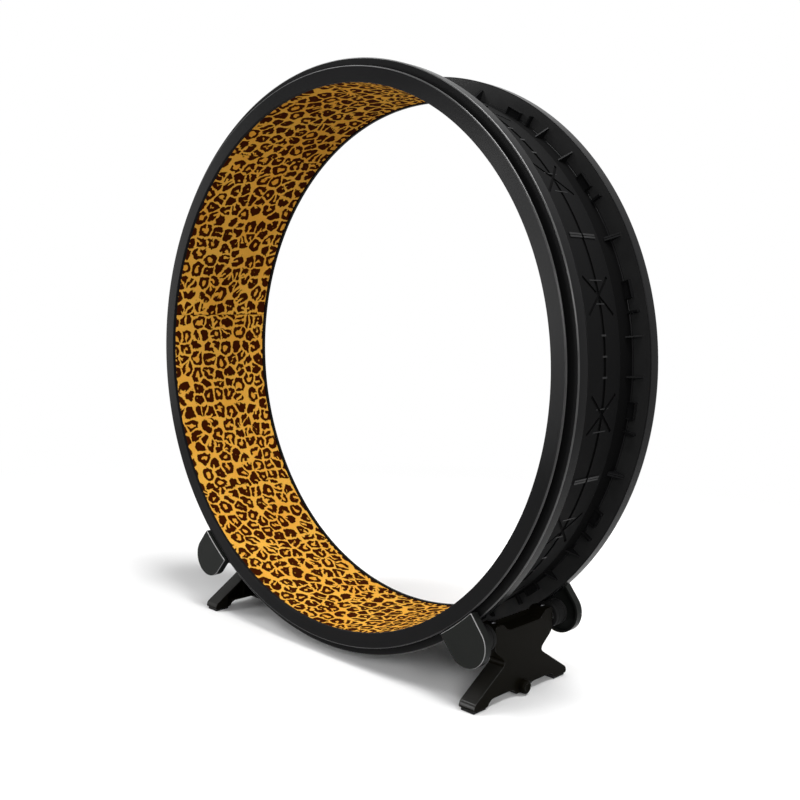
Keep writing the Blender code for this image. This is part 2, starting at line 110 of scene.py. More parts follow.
@dataclass(frozen=True)
class Corner:
    """One corner of a flat outline, with the length of edge that its rounding takes."""

    a: float
    b: float
    rounding: float = 0.0


def corners_of(*rows: Floats) -> list[Corner]:
    """Turn rows of two places and a rounding into corners."""
    return [Corner(*row) for row in rows]


def round_off(bm: BMesh, geom: Sequence[Any], width: float, segments: int,
              kind: Rounded = Rounded.EDGES, clamp: bool = True) -> None:
    """Round edges or corners.

    Args:
        bm: What is rounded, changed in place.
        geom: Its edges, or its corners.
        width: Width of the rounding.
        segments: Steps in the rounding.
        kind: Edges or corners.
        clamp: Whether a rounding stops where it would meet the next one.
    """
    bmesh.ops.bevel(bm, geom=geom, offset=width, offset_type="OFFSET", segments=segments,
                    profile=0.5, affect=kind.value, clamp_overlap=clamp, material=-1)


def outline_face(corners: Sequence[Corner], place: Callable[[float, float], Vector],
                 segments: int = 3) -> BMesh:
    """Make one flat face with rounded corners.

    Args:
        corners: The outline's corners, in order.
        place: Turns a corner's two numbers into a point.
        segments: Steps in each rounding.

    Returns:
        A bmesh that holds the face.
    """
    bm = bmesh.new()
    verts = [bm.verts.new(place(c.a, c.b)) for c in corners]
    bm.faces.new(verts)
    bm.normal_update()
    for size in sorted({c.rounding for c in corners if c.rounding > 0}):
        chosen = [v for v, c in zip(verts, corners) if c.rounding == size]
        round_off(bm, chosen, size, segments, Rounded.CORNERS)
    bm.normal_update()
    return bm


def extrude_face(bm: BMesh, shift: Vector) -> list[BMFace]:
    """Extrude every face of a flat outline into a closed solid.

    Args:
        bm: The outline, changed in place.
        shift: The way and length of the extrusion.

    Returns:
        The faces of the far end.
    """
    lifted = bmesh.ops.extrude_face_region(bm, geom=bm.faces[:])
    verts = [v for v in lifted["geom"] if isinstance(v, BMVert)]
    bmesh.ops.translate(bm, vec=shift, verts=verts)
    bm.normal_update()
    return [f for f in lifted["geom"] if isinstance(f, BMFace)]


def bevel_rim(bm: BMesh, faces: Sequence[BMFace], width: float, segments: int = 3) -> None:
    """Round the edges round the given faces.

    Args:
        bm: The solid, changed in place.
        faces: Faces whose outer edges are rounded.
        width: Width of the rounding.
        segments: Steps in the rounding.
    """
    inside = set(faces)
    edges = [e for f in faces for e in f.edges if not inside.issuperset(e.link_faces)]
    round_off(bm, list(set(edges)), width, segments)


def block(low: Sequence[float], high: Sequence[float], rounding: float = 0.0) -> BMesh:
    """Make a box between two corners, with all edges rounded if asked.

    Args:
        low: Lowest corner.
        high: Highest corner.
        rounding: Width of the rounding, or 0.

    Returns:
        The box.
    """
    bm = bmesh.new()
    bmesh.ops.create_cube(bm, size=1.0)
    bmesh.ops.scale(bm, vec=Vector(high) - Vector(low), verts=bm.verts)
    bmesh.ops.translate(bm, vec=(Vector(low) + Vector(high)) / 2, verts=bm.verts)
    if rounding > 0:
        round_off(bm, bm.edges[:], rounding, 2, clamp=False)
    return bm


def rod(radius: float, start: float, end: float, axis: Axis, sides: int,
        turn: float = 0.0) -> BMesh:
    """Make a closed round or many-sided bar along one axis through the origin.

    Args:
        radius: Radius to the corners.
        start: Where the bar starts on its axis.
        end: Where it ends.
        axis: The axis that it lies on.
        sides: Number of sides.
        turn: Turn about its own axis.

    Returns:
        The bar.
    """
    bm = bmesh.new()
    bmesh.ops.create_cone(bm, cap_ends=True, segments=sides, radius1=radius, radius2=radius,
                          depth=abs(end - start))
    bmesh.ops.rotate(bm, cent=(0, 0, 0), verts=bm.verts, matrix=Matrix.Rotation(turn, 3, "Z"))
    lay = {Axis.X: Matrix.Rotation(math.pi / 2, 3, "Y"), Axis.Z: Matrix.Identity(3),
           Axis.Y: Matrix.Rotation(-math.pi / 2, 3, "X")}[axis]
    bmesh.ops.rotate(bm, cent=(0, 0, 0), verts=bm.verts, matrix=lay)
    bmesh.ops.translate(bm, vec=Vector(axis.value) * (start + end) / 2, verts=bm.verts)
    return bm


def turned(corners: Sequence[Corner], steps: int, segments: int = 3) -> BMesh:
    """Turn an outline of (depth, radius) corners a full turn about the Y axis.

    An outline with corners on the axis gives a solid, any other one gives a ring.

    Args:
        corners: The outline's corners, in order.
        steps: Steps in the turn.
        segments: Steps in each rounding.

    Returns:
        The turned solid.
    """
    bm = outline_face(corners, lambda depth, radius: Vector((radius, depth, 0.0)), segments)
    bmesh.ops.delete(bm, geom=bm.faces[:], context="FACES_ONLY")
    axial = [e for e in bm.edges if all(abs(v.co.x) < TINY for v in e.verts)]
    bmesh.ops.delete(bm, geom=axial, context="EDGES")
    bmesh.ops.spin(bm, geom=bm.verts[:] + bm.edges[:], cent=(0, 0, 0), axis=(0, 1, 0),
                   angle=math.tau, steps=steps, use_merge=True)
    bmesh.ops.remove_doubles(bm, verts=bm.verts, dist=MERGE)
    bmesh.ops.recalc_face_normals(bm, faces=bm.faces)
    return bm


def swept(bm: BMesh, start: float, sweep: float, steps: int) -> BMesh:
    """Sweep a flat outline round the Y axis into an arc, from +X towards +Z.

    Args:
        bm: The outline, changed in place.
        start: Angle where the arc starts.
        sweep: Angle that it covers.
        steps: Steps in the arc.

    Returns:
        The same bmesh, now a closed solid.
    """
    bmesh.ops.rotate(bm, cent=(0, 0, 0), verts=bm.verts, matrix=Matrix.Rotation(-start, 3, "Y"))
    bmesh.ops.spin(bm, geom=bm.faces[:], cent=(0, 0, 0), axis=(0, -1, 0), angle=sweep, steps=steps)
    bmesh.ops.recalc_face_normals(bm, faces=bm.faces)
    return bm


def moved(bm: BMesh, matrix: Matrix) -> BMesh:
    """Move a solid by a matrix, and keep its faces pointing out.

    Args:
        bm: The solid, changed in place.
        matrix: The move; a mirror is allowed.

    Returns:
        The same solid.
    """
    bmesh.ops.transform(bm, matrix=matrix, verts=bm.verts)
    if matrix.determinant() < 0:
        bmesh.ops.reverse_faces(bm, faces=bm.faces)
    bm.normal_update()
    return bm


def meshed(bm: BMesh, name: str) -> Mesh:
    """Turn a bmesh into mesh data.

    Args:
        bm: The bmesh; it is freed.
        name: Name of the data.

    Returns:
        The mesh.
    """
    mesh = bpy.data.meshes.new(name)
    bm.to_mesh(mesh)
    bm.free()
    return mesh


def placed(name: str, data: ID) -> Object:
    """Put an object with some data into the scene.

    Args:
        name: Name of the object.
        data: Its mesh, lamp or camera.

    Returns:
        The object.
    """
    item = bpy.data.objects.new(name, data)
    bpy.context.scene.collection.objects.link(item)
    return item


def together(*parts: BMesh) -> BMesh:
    """Put several solids that don't overlap into one bmesh.

    Args:
        parts: The solids; they are freed.

    Returns:
        One bmesh with all of them.
    """
    whole = bmesh.new()
    for part in parts:
        mesh = meshed(part, "part")
        whole.from_mesh(mesh)
        bpy.data.meshes.remove(mesh)
    return whole


def combined(target: BMesh, tool: BMesh, join: Join) -> BMesh:
    """Join or cut one solid with another through Blender's exact Boolean.

    Args:
        target: The solid that is changed; it is freed.
        tool: The other solid; it is freed.
        join: Union or difference.

    Returns:
        The result.
    """
    items = []
    for name, bm in (("target", target), ("tool", tool)):
        bmesh.ops.recalc_face_normals(bm, faces=bm.faces)
        items.append(placed(name, meshed(bm, name)))
    modifier = items[0].modifiers.new("join", "BOOLEAN")
    modifier.operation = join.value
    modifier.solver = "EXACT"
    modifier.object = items[1]
    graph = bpy.context.evaluated_depsgraph_get()
    mesh = bpy.data.meshes.new_from_object(items[0].evaluated_get(graph))
    result = bmesh.new()
    result.from_mesh(mesh)
    bmesh.ops.remove_doubles(result, verts=result.verts, dist=TINY)
    bpy.data.meshes.remove(mesh)
    for item in items:
        data = item.data
        bpy.data.objects.remove(item)
        bpy.data.meshes.remove(data)
    return result


def cut(target: BMesh, *tools: BMesh) -> BMesh:
    """Cut several solids out of one, in order.

    Args:
        target: The solid that is cut; it is freed.
        tools: What is cut out of it; they are freed.

    Returns:
        The result.
    """
    for tool in tools:
        target = combined(target, tool, Join.DIFFERENCE)
    return target


def wrapped(bm: BMesh, angle: float, radius: float) -> BMesh:
    """Bend a flat solid round the Y axis: its X becomes length along the drum, its Z radius.

    Args:
        bm: The flat solid, with its heights measured from the Y axis; changed in place.
        angle: Where its X of 0 goes, in degrees from +X towards +Z.
        radius: Radius at which lengths along X are true.

    Returns:
        The same solid.
    """
    for vert in bm.verts:
        along, across, height = vert.co
        turn = math.radians(angle) + along / radius
        vert.co = Vector((height * math.cos(turn), across, height * math.sin(turn)))
    bmesh.ops.recalc_face_normals(bm, faces=bm.faces)
    return bm


def mark_painted_light(bm: BMesh, strength: Callable[[Vector], float]) -> None:
    """Store each face's painted light: above 0 a painted highlight, below 0 painted shade.

    Args:
        bm: The solid, changed in place.
        strength: Gives -1 to 1 for the middle of a face.
    """
    layer = bm.faces.layers.float.get(PAINTED_LIGHT) or bm.faces.layers.float.new(PAINTED_LIGHT)
    for face in bm.faces:
        face[layer] = strength(face.calc_center_median())


def finished(bm: BMesh, name: str, material: Material) -> Object:
    """Turn a bmesh into a smooth-shaded object with crisp corners.

    Args:
        bm: The finished solid; it is freed.
        name: Name of the piece.
        material: Its material.

    Returns:
        The piece, linked to the scene.
    """
    mesh = meshed(bm, name)
    mesh.shade_smooth()
    mesh.set_sharp_from_angle(angle=SHARP_ANGLE)
    mesh.materials.append(material)
    item = placed(name, mesh)
    weighted = item.modifiers.new("even_normals", "WEIGHTED_NORMAL")
    weighted.keep_sharp = True
    return item


def dress(item: Object, body: str, slot: str, *nodes: str) -> Object:
    """Put a piece on its body in place of its nodes.

    Args:
        item: The piece.
        body: Body that it rides on.
        slot: Not used.
        nodes: Nodes that it stands for.

    Returns:
        The same piece.
    """
    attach(item, body)
    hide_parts(*nodes)
    LOG.info("%s stands for %s on %s", item.name, ", ".join(nodes), body)
    return item


class Graph:
    """Adds nodes to one node tree, with inputs given as values or as other nodes' outputs."""

    def __init__(self, tree: NodeTree) -> None:
        """Keep the tree that the nodes go into."""
        self.tree = tree

    def add(self, kind: str, inputs: dict[Any, Any] | None = None, **settings: Any) -> Node:
        """Add one node.

        Args:
            kind: Type of the node, without its ShaderNode prefix.
            inputs: Values or sockets, by the input's name or number.
            settings: The node's own properties.

        Returns:
            The node.
        """
        node = self.tree.nodes.new("ShaderNode" + kind)
        for name, value in settings.items():
            setattr(node, name, value)
        for key, value in (inputs or {}).items():
            self.feed(node.inputs[key], value)
        return node

    def feed(self, socket: NodeSocket, value: Any) -> None:
        """Link a socket to another one, or set its value.

        Args:
            socket: The input.
            value: An output socket, or a value.
        """
        if isinstance(value, NodeSocket):
            self.tree.links.new(value, socket)
        else:
            socket.default_value = value

    def math(self, operation: str, *values: Any) -> NodeSocket:
        """Add a Math node and return its result."""
        return self.add("Math", dict(enumerate(values)), operation=operation).outputs[0]

    def vector(self, operation: str, *values: Any, output: int = 0) -> NodeSocket:
        """Add a Vector Math node and return one of its results."""
        node = self.add("VectorMath", dict(enumerate(values)), operation=operation)
        return node.outputs[output]

    def scaled(self, vector: Any, size: Any) -> NodeSocket:
        """Scale a vector or a colour by a number and return the result."""
        node = self.add("VectorMath", {0: vector, "Scale": size}, operation="SCALE")
        return node.outputs[0]

    def blend(self, share: Any, first: Any, second: Any) -> NodeSocket:
        """Mix two colours by a share and return the result."""
        node = self.add("Mix", {0: share, 6: first, 7: second}, data_type="RGBA")
        return node.outputs[2]

    def mix(self, share: Any, first: Any, second: Any) -> NodeSocket:
        """Mix two numbers by a share and return the result."""
        return self.add("Mix", {0: share, 2: first, 3: second}, data_type="FLOAT").outputs[0]

    def smooth(self, value: Any, low: float, high: float, start: float = 0.0,
               end: float = 1.0) -> NodeSocket:
        """Add a smooth step and return its result.

        Args:
            value: What is stepped.
            low: Where the step starts.
            high: Where it ends.
            start: Result at its start.
            end: Result at its end.

        Returns:
            The stepped value.
        """
        node = self.add("MapRange", {0: value, 1: low, 2: high, 3: start, 4: end},
                        interpolation_type="SMOOTHSTEP")
        return node.outputs[0]

    def noise(self, vector: Any, scale: Any, detail: float = 2.0, output: int = 0) -> NodeSocket:
        """Add a Noise Texture and return its value (output 0) or its colour (output 1)."""
        node = self.add("TexNoise", {"Vector": vector, "Scale": scale, "Detail": detail})
        return node.outputs[output]

    def bump(self, strength: float, distance: float, height: Any) -> NodeSocket:
        """Add a Bump node and return its normal."""
        inputs = {"Strength": strength, "Distance": distance, "Height": height}
        return self.add("Bump", inputs).outputs["Normal"]


def rgba(colour: Sequence[float], share: float = 1.0) -> tuple[float, float, float, float]:
    """Scale a colour and add full opacity."""
    return (colour[0] * share, colour[1] * share, colour[2] * share, 1.0)


def new_group(name: str, inputs: dict[str, str],
              outputs: dict[str, str]) -> tuple[Graph, Any, Any]:
    """Start a shader node group with named sockets.

    Args:
        name: Name of the group.
        inputs: Kind of each input, by its name.
        outputs: Kind of each output, by its name.

    Returns:
        Its nodes, the sockets that bring its inputs and the sockets that take its results.
    """
    group = bpy.data.node_groups.new(name, "ShaderNodeTree")
    for way, sockets in (("INPUT", inputs), ("OUTPUT", outputs)):
        for label, kind in sockets.items():
            group.interface.new_socket(name=label, in_out=way, socket_type="NodeSocket" + kind)
    given = group.nodes.new("NodeGroupInput")
    result = group.nodes.new("NodeGroupOutput")
    return Graph(group), given.outputs, result.inputs


def new_material(name: str) -> tuple[Material, Graph, Any]:
    """Start a material.

    Args:
        name: Name of the material.

    Returns:
        The material, its nodes and the inputs of its shader.
    """
    material = bpy.data.materials.new(name)
    material.use_nodes = True
    shader = material.node_tree.nodes["Principled BSDF"]
    return material, Graph(material.node_tree), shader.inputs


@dataclass
class SurfaceEffects:
    """Node groups that several finishes share."""

    mottle_scale: float = 9.0
    patch_scale: float = 30.0
    least_polish: float = 0.75      # share of the painted highlight that is left where it is broken up

    def __post_init__(self) -> None:
        """Build the groups once."""
        self.grain = self._grain()
        self.light_masks = self._light_masks()

    def _grain(self) -> NodeTree:
        """Build the fine texture and faint mottling of a moulded surface.

        Returns:
            The group.
        """
        graph, given, result = new_group("moulded_grain", {"Vector": "Vector", "Scale": "Float"},
                                         {"Height": "Float", "Mottle": "Float"})
        graph.feed(result["Height"], graph.noise(given["Vector"], given["Scale"], 3.0))
        graph.feed(result["Mottle"], graph.noise(given["Vector"], self.mottle_scale, 4.0))
        return graph.tree

    def _light_masks(self) -> NodeTree:
        """Build the masks of painted highlight on edges, broken up a little, and of painted shade
        in recesses.

        Returns:
            The group.
        """
        graph, given, result = new_group("edge_polish", {"Vector": "Vector", "Polish": "Float"},
                                         {"Worn": "Float", "Matt": "Float"})
        patches = graph.noise(given["Vector"], self.patch_scale, 3.0)
        share = graph.smooth(patches, 0.2, 0.6, self.least_polish, 1.0)
        worn = graph.math("MAXIMUM", given["Polish"], 0.0)
        graph.feed(result["Worn"], graph.math("MULTIPLY", worn, share))
        painted_shade = graph.math("MAXIMUM", graph.math("MULTIPLY", given["Polish"], -1.0), 0.0)
        graph.feed(result["Matt"], painted_shade)
        return graph.tree

    def grained(self, graph: Graph, scale: float) -> Any:
        """Put the grain on a material.

        Args:
            graph: The material's nodes.
            scale: Scale of its fine texture.

        Returns:
            The grain's outputs.
        """
        place = graph.add("TexCoord").outputs["Object"]
        return graph.add("Group", {"Vector": place, "Scale": scale}, node_tree=self.grain).outputs

    def worn(self, graph: Graph) -> Any:
        """Put the painted highlight and shade on a material.

        Args:
            graph: The material's nodes.

        Returns:
            The masks of painted highlight and of painted shade.
        """
        place = graph.add("TexCoord").outputs["Object"]
        polish = graph.add("Attribute", attribute_name=PAINTED_LIGHT).outputs["Fac"]
        return graph.add("Group", {"Vector": place, "Polish": polish}, node_tree=self.light_masks).outputs


@dataclass(frozen=True)
class MouldedPlastic:
    """Satin moulded plastic with a fine grain, painted highlights and a gloss coat on edges, and
    painted shade in recesses.
    """

    name: str
    colour: Triple
    # colour of the painted highlight on edges
    edge_colour: Triple
    roughness: float = 0.23
    smoother: float = 0.03          # how far the mottling brings the roughness down
    rougher: float = 0.04           # and up
    edge_roughness: float = 0.28
    recess_roughness: float = 0.9
    # share of the colour that is left under the painted shade in recesses
    recess_shade: float = 0.25
    specular: float = 0.04
    grain_scale: float = 1500.0
    grain_depth: float = 0.00004
    grain_strength: float = 0.15
    mottling: float = 0.12

    def material(self, effects: SurfaceEffects) -> Material:
        """Build the material.

        Args:
            effects: The shared node groups.

        Returns:
            The material.
        """
        material, graph, shader = new_material(self.name)
        grain = effects.grained(graph, self.grain_scale)
        light_masks = effects.worn(graph)
        colour = graph.blend(grain["Mottle"], rgba(self.colour, 1 - self.mottling),
                             rgba(self.colour, 1 + self.mottling))
        # painted highlight on edges, then painted shade in recesses
        colour = graph.blend(light_masks["Worn"], colour, rgba(self.edge_colour))
        colour = graph.blend(light_masks["Matt"], colour, rgba(self.colour, self.recess_shade))
        graph.feed(shader["Base Color"], colour)
        rough = graph.smooth(grain["Mottle"], 0.3, 0.7, self.roughness - self.smoother,
                             self.roughness + self.rougher)
        rough = graph.mix(light_masks["Worn"], rough, self.edge_roughness)
        rough = graph.mix(light_masks["Matt"], rough, self.recess_roughness)
        graph.feed(shader["Roughness"], rough)
        normal = graph.bump(self.grain_strength, self.grain_depth, grain["Height"])
        graph.feed(shader["Normal"], normal)
        graph.feed(shader["Coat Weight"], light_masks["Worn"])
        shader["Coat Roughness"].default_value = self.edge_roughness
        shader["Specular IOR Level"].default_value = self.specular
        return material


@dataclass(frozen=True)
class TurnedSteel:
    """Bright turned steel with fine rings left by the tool."""

    name: str
    colour: Triple
    darker: float = 0.8             # share of its colour that is left where it is dull
    roughness: float = 0.28
    smoother: float = 0.06          # how far the grain brings the roughness down
    rougher: float = 0.10           # and up
    grain_scale: float = 2500.0
    grain_depth: float = 0.00002
    grain_strength: float = 0.3

    def material(self, effects: SurfaceEffects) -> Material:
        """Build the material.

        Args:
            effects: The shared node groups.

        Returns:
            The material.
        """
        material, graph, shader = new_material(self.name)
        grain = effects.grained(graph, self.grain_scale)
        rough = graph.smooth(grain["Height"], 0.3, 0.7, self.roughness - self.smoother,
                             self.roughness + self.rougher)
        graph.feed(shader["Roughness"], rough)
        dull = rgba(self.colour, self.darker)
        graph.feed(shader["Base Color"], graph.blend(grain["Mottle"], dull, rgba(self.colour)))
        normal = graph.bump(self.grain_strength, self.grain_depth, grain["Height"])
        graph.feed(shader["Normal"], normal)
        shader["Metallic"].default_value = 1.0
        return material


@dataclass(frozen=True)
class LeopardCarpet:
    """Short-pile carpet printed with a leopard pattern in a layout of its own.

    The pattern's own sizes are in parts of its pitch, the rest in metres.
    """

    name: str = "leopard_carpet"
    ground: Triple = (0.88, 0.480, 0.072)
    heart: Triple = (0.80, 0.33, 0.030)
    spot: Triple = (0.042, 0.007, 0.0005)
    roughness: float = 0.9
    specular: float = 0.02
    fibre_scale: float = 900.0
    tuft_scale: float = 420.0
    pile_depth: float = 0.0005
    pile_strength: float = 0.6
    patch_scale: float = 14.0
    patch_share: float = 0.45       # of the heart's colour, in darker patches of the ground
    heart_share: float = 0.45       # of the heart's colour, inside a rosette
    pile_shade: Pair = (0.82, 1.10)     # darkest and lightest fibre
    pitch: float = 0.0212
    randomness: float = 0.80
    gap: float = 0.078              # from a rosette to its cell's border
    reach: float = 0.68             # furthest that a rosette grows from its middle
    stroke: float = 0.27
    softness: float = 0.024
    blunt: float = 0.10             # rounding where a rosette's sides meet
    mouth_blunt: float = 0.08       # rounding of the strokes' ends
    swell_scale: float = 1.6
    swell: Pair = (0.75, 1.30)      # least and most of the stroke's width
    ragged_scale: float = 3.4
    ragged: Pair = (0.050, -0.045)
    closed: float = 0.30            # share of rosettes without a mouth
    shut: float = -0.20             # half the width of a mouth that is closed
    mouth: float = 0.21             # what an open mouth adds to it
    wider: float = 0.09             # and how much more that is at most
    double: float = 0.84            # share of rosettes with at most one mouth
    mouth_start: float = -0.04      # where a mouth starts, from the middle
    behind: float = -9.0            # puts the start far behind, for a mouth on both sides
    warps: tuple[Pair, ...] = ((0.45, 0.24), (1.5, 0.36), (4.5, 0.07), (24.0, 0.030))

    def material(self) -> Material:
        """Build the material.

        Returns:
            The material.
        """
        material, graph, shader = new_material(self.name)
        flat = graph.add("UVMap", uv_map=MAT_MAP).outputs["UV"]
        fibre = graph.noise(flat, self.fibre_scale, 2.0)
        patch = graph.smooth(graph.noise(flat, self.patch_scale, 3.0), 0.3, 0.7)
        spots, hearts = self._print(graph, flat)
        colour = graph.blend(graph.math("MULTIPLY", patch, self.patch_share), rgba(self.ground),
                             rgba(self.heart))
        colour = graph.blend(hearts, colour, rgba(self.heart))
        colour = graph.blend(spots, colour, rgba(self.spot))
        shade = graph.smooth(fibre, 0.25, 0.75, *self.pile_shade)
        graph.feed(shader["Base Color"], graph.scaled(colour, shade))
        shader["Roughness"].default_value = self.roughness
        shader["Specular IOR Level"].default_value = self.specular
        pile = graph.math("ADD", fibre, graph.noise(flat, self.tuft_scale, 2.0))
        graph.feed(shader["Normal"], graph.bump(self.pile_strength, self.pile_depth, pile))
        return material

    def _print(self, graph: Graph, flat: NodeSocket) -> tuple[NodeSocket, NodeSocket]:
        """Lay out the rosettes: one in each cell, as a stroke round its heart with a mouth.

        Args:
            graph: The material's nodes.
            flat: The map in metres.

        Returns:
            Masks of the dark strokes and of the hearts inside them.
        """
        place = self._warped(graph, graph.scaled(flat, 1 / self.pitch))
        settings = {"Vector": place, "Scale": 1.0, "Randomness": self.randomness}
        cell = graph.add("TexVoronoi", settings, voronoi_dimensions="2D").outputs
        second = graph.add("TexVoronoi", settings, voronoi_dimensions="2D",
                           feature="F2").outputs["Distance"]
        offset = graph.vector("SUBTRACT", place, cell["Position"])
        far = cell["Distance"]
        border = graph.math("MULTIPLY", graph.math("SUBTRACT", second, far), 0.5)
        left = graph.math("SUBTRACT", self.reach, far)
        depth = graph.math("SUBTRACT", graph.math("SMOOTH_MIN", border, left, self.blunt),
                           self.gap)
        swell = graph.smooth(graph.noise(place, self.swell_scale, 1.0), 0.30, 0.70,
                             self.stroke * self.swell[0], self.stroke * self.swell[1])
        ring = graph.math("MINIMUM", depth, graph.math("SUBTRACT", swell, depth))
        ragged = graph.smooth(graph.noise(place, self.ragged_scale, 1.0), 0.25, 0.75, *self.ragged)
        mouth = self._mouth(graph, offset, cell["Color"])
        opened = graph.math("SMOOTH_MIN", ring, mouth, self.mouth_blunt)
        strokes = graph.smooth(graph.math("ADD", opened, ragged), -self.softness, self.softness)
        hearts = graph.smooth(depth, self.stroke * 0.6, self.stroke * 1.2, 0.0, self.heart_share)
        return strokes, hearts

    def _mouth(self, graph: Graph, offset: NodeSocket, seed: NodeSocket) -> NodeSocket:
        """Open each rosette on one side, or on two opposite sides.

        Args:
            graph: The material's nodes.
            offset: Place in the cell, from its middle.
            seed: The cell's random colour.

        Returns:
            Distance from the mouth, negative inside it.
        """
        flat_seed = graph.vector("MULTIPLY", seed, (1.0, 1.0, 0.0))
        way = graph.vector("NORMALIZE", graph.vector("SUBTRACT", flat_seed, (0.5, 0.5, 0.0)))
        along = graph.vector("DOT_PRODUCT", offset, way, output=1)
        across = graph.vector("SUBTRACT", offset, graph.scaled(way, along))
        pick = graph.add("SeparateXYZ", {0: seed}).outputs["Z"]
        opened = graph.math("GREATER_THAN", pick, self.closed)
        half = graph.math("MULTIPLY_ADD", pick, self.wider, self.mouth)
        half = graph.math("MULTIPLY_ADD", opened, half, self.shut)
        beside = graph.math("SUBTRACT", graph.vector("LENGTH", across, output=1), half)
        draw = graph.math("FRACT", graph.math("MULTIPLY", pick, 7.0))
        both = graph.math("GREATER_THAN", draw, self.double)
        behind = graph.math("MULTIPLY_ADD", along, -1.0, self.mouth_start)
        behind = graph.math("MULTIPLY_ADD", both, self.behind, behind)
        return graph.math("MAXIMUM", beside, behind)

    def _warped(self, graph: Graph, place: NodeSocket) -> NodeSocket:
        """Bend the map by noises of several scales, so that no spot is regular.

        Args:
            graph: The material's nodes.
            place: The map in pitches.

        Returns:
            The bent map.
        """
        start = place
        for scale, reach in self.warps:
            swing = graph.vector("SUBTRACT", graph.noise(start, scale, 1.0, output=1),
                                 (0.5, 0.5, 0.5))
            place = graph.vector("ADD", place, graph.scaled(swing, reach))
        return graph.vector("MULTIPLY", place, (1.0, 1.0, 0.0))


class Finishes:
    """Every material of the wheel, by what it is for."""

    def __init__(self, effects: SurfaceEffects) -> None:
        """Build all materials.

        Args:
            effects: The shared node groups.
        """
        # each plastic's second colour is that of its painted highlights on edges
        self.ring = MouldedPlastic("ring_satin", (0.0065, 0.0065, 0.0068),
                                   (0.04, 0.04, 0.04)).material(effects)
        self.cover = MouldedPlastic("cover_satin", (0.013, 0.014, 0.013),
                                    (0.28, 0.28, 0.28)).material(effects)
        self.stand = MouldedPlastic("stand_satin", (0.0045, 0.0040, 0.0026), (0.02, 0.02, 0.02),
                                    roughness=0.32, specular=0.018).material(effects)
        self.roller = MouldedPlastic("roller_dark", (0.012, 0.012, 0.012), (0.03, 0.03, 0.03),
                                     roughness=0.5).material(effects)
        self.rubber = MouldedPlastic("pad_rubber", (0.014, 0.014, 0.014), (0.03, 0.03, 0.03),
                                     roughness=0.8, edge_roughness=0.7, specular=0.2,
                                     grain_scale=700.0).material(effects)
        self.steel = TurnedSteel("turned_steel", (0.62, 0.62, 0.64)).material(effects)
        self.screw = TurnedSteel("blackened_steel", (0.07, 0.07, 0.075)).material(effects)
        self.mat = LeopardCarpet().material()


@dataclass(frozen=True)
class Ring:
    """The running ring: sizes measured from its axis and from its two faces."""

    centre: Vector = Vector((0.0, -0.004, 0.4123))
    track: float = 0.4000
    flange: float = 0.3890
    groove: float = 0.3820
    strip: float = 0.3783
    strip_floor: float = 0.3765     # of the groove between the two halves
    lap: float = 0.3758
    channel: float = 0.3745
    seat: float = 0.3733
    lip: float = 0.3681
    half_depth: float = 0.09425
    flange_thick: float = 0.0030
    lip_thick: float = 0.0050
    track_start: float = 0.0087
    track_end: float = 0.0265
    track_wall: float = 0.0028
    strip_start: float = 0.0600
    lap_length: float = 0.0040
    seam: float = 0.0026            # half the groove between the two halves
    slit: float = 0.00001           # half the gap between neighbours
    arcs: int = 8
    steps: int = 40
    first_joint: float = math.radians(26.7)

    @property
    def sweep(self) -> float:
        """Angle of one arc with its gap."""
        return math.tau / self.arcs

    def corners(self, end: End) -> list[Corner]:
        """Outline of one half as (depth from its face, radius).

        Args:
            end: Which half.

        Returns:
            The corners, in order.
        """
        mid, slit, wall = self.half_depth, self.slit, self.track_wall
        start, stop = self.track_start, self.track_end
        lap, lap_end = self.lap - end.value * slit, mid + end.value * self.lap_length
        return corners_of(
            (0.0, self.lip, 0.0010), (0.0, self.flange, 0.0015),
            (self.flange_thick, self.flange, 0.0008), (self.flange_thick, self.groove, 0.0006),
            (start, self.groove, 0.0006), (start, self.track, 0.0014),
            (stop, self.track, 0.0012), (stop, self.channel, 0.0020),
            (self.strip_start, self.channel, 0.0012), (self.strip_start, self.strip, 0.0010),
            (mid - self.seam, self.strip, 0.0004), (mid - self.seam, self.strip_floor),
            (mid - slit, self.strip_floor), (mid - slit, lap), (lap_end, lap),
            (lap_end, self.seat), (stop - wall, self.seat), (stop - wall, self.track - wall),
            (start + wall, self.track - wall), (start + wall, self.seat),
            (self.lip_thick, self.seat), (self.lip_thick, self.lip, 0.0008))

    def blank(self, end: End) -> BMesh:
        """Sweep the outline through one arc, its middle on +X.

        Args:
            end: Which half.

        Returns:
            The plain arc.
        """
        bm = outline_face(self.corners(end),
                          lambda a, b: Vector((b, end.value * (self.half_depth - a), 0.0)))
        sweep = self.sweep - 2 * self.slit / self.track
        return swept(bm, -sweep / 2, sweep, self.steps)


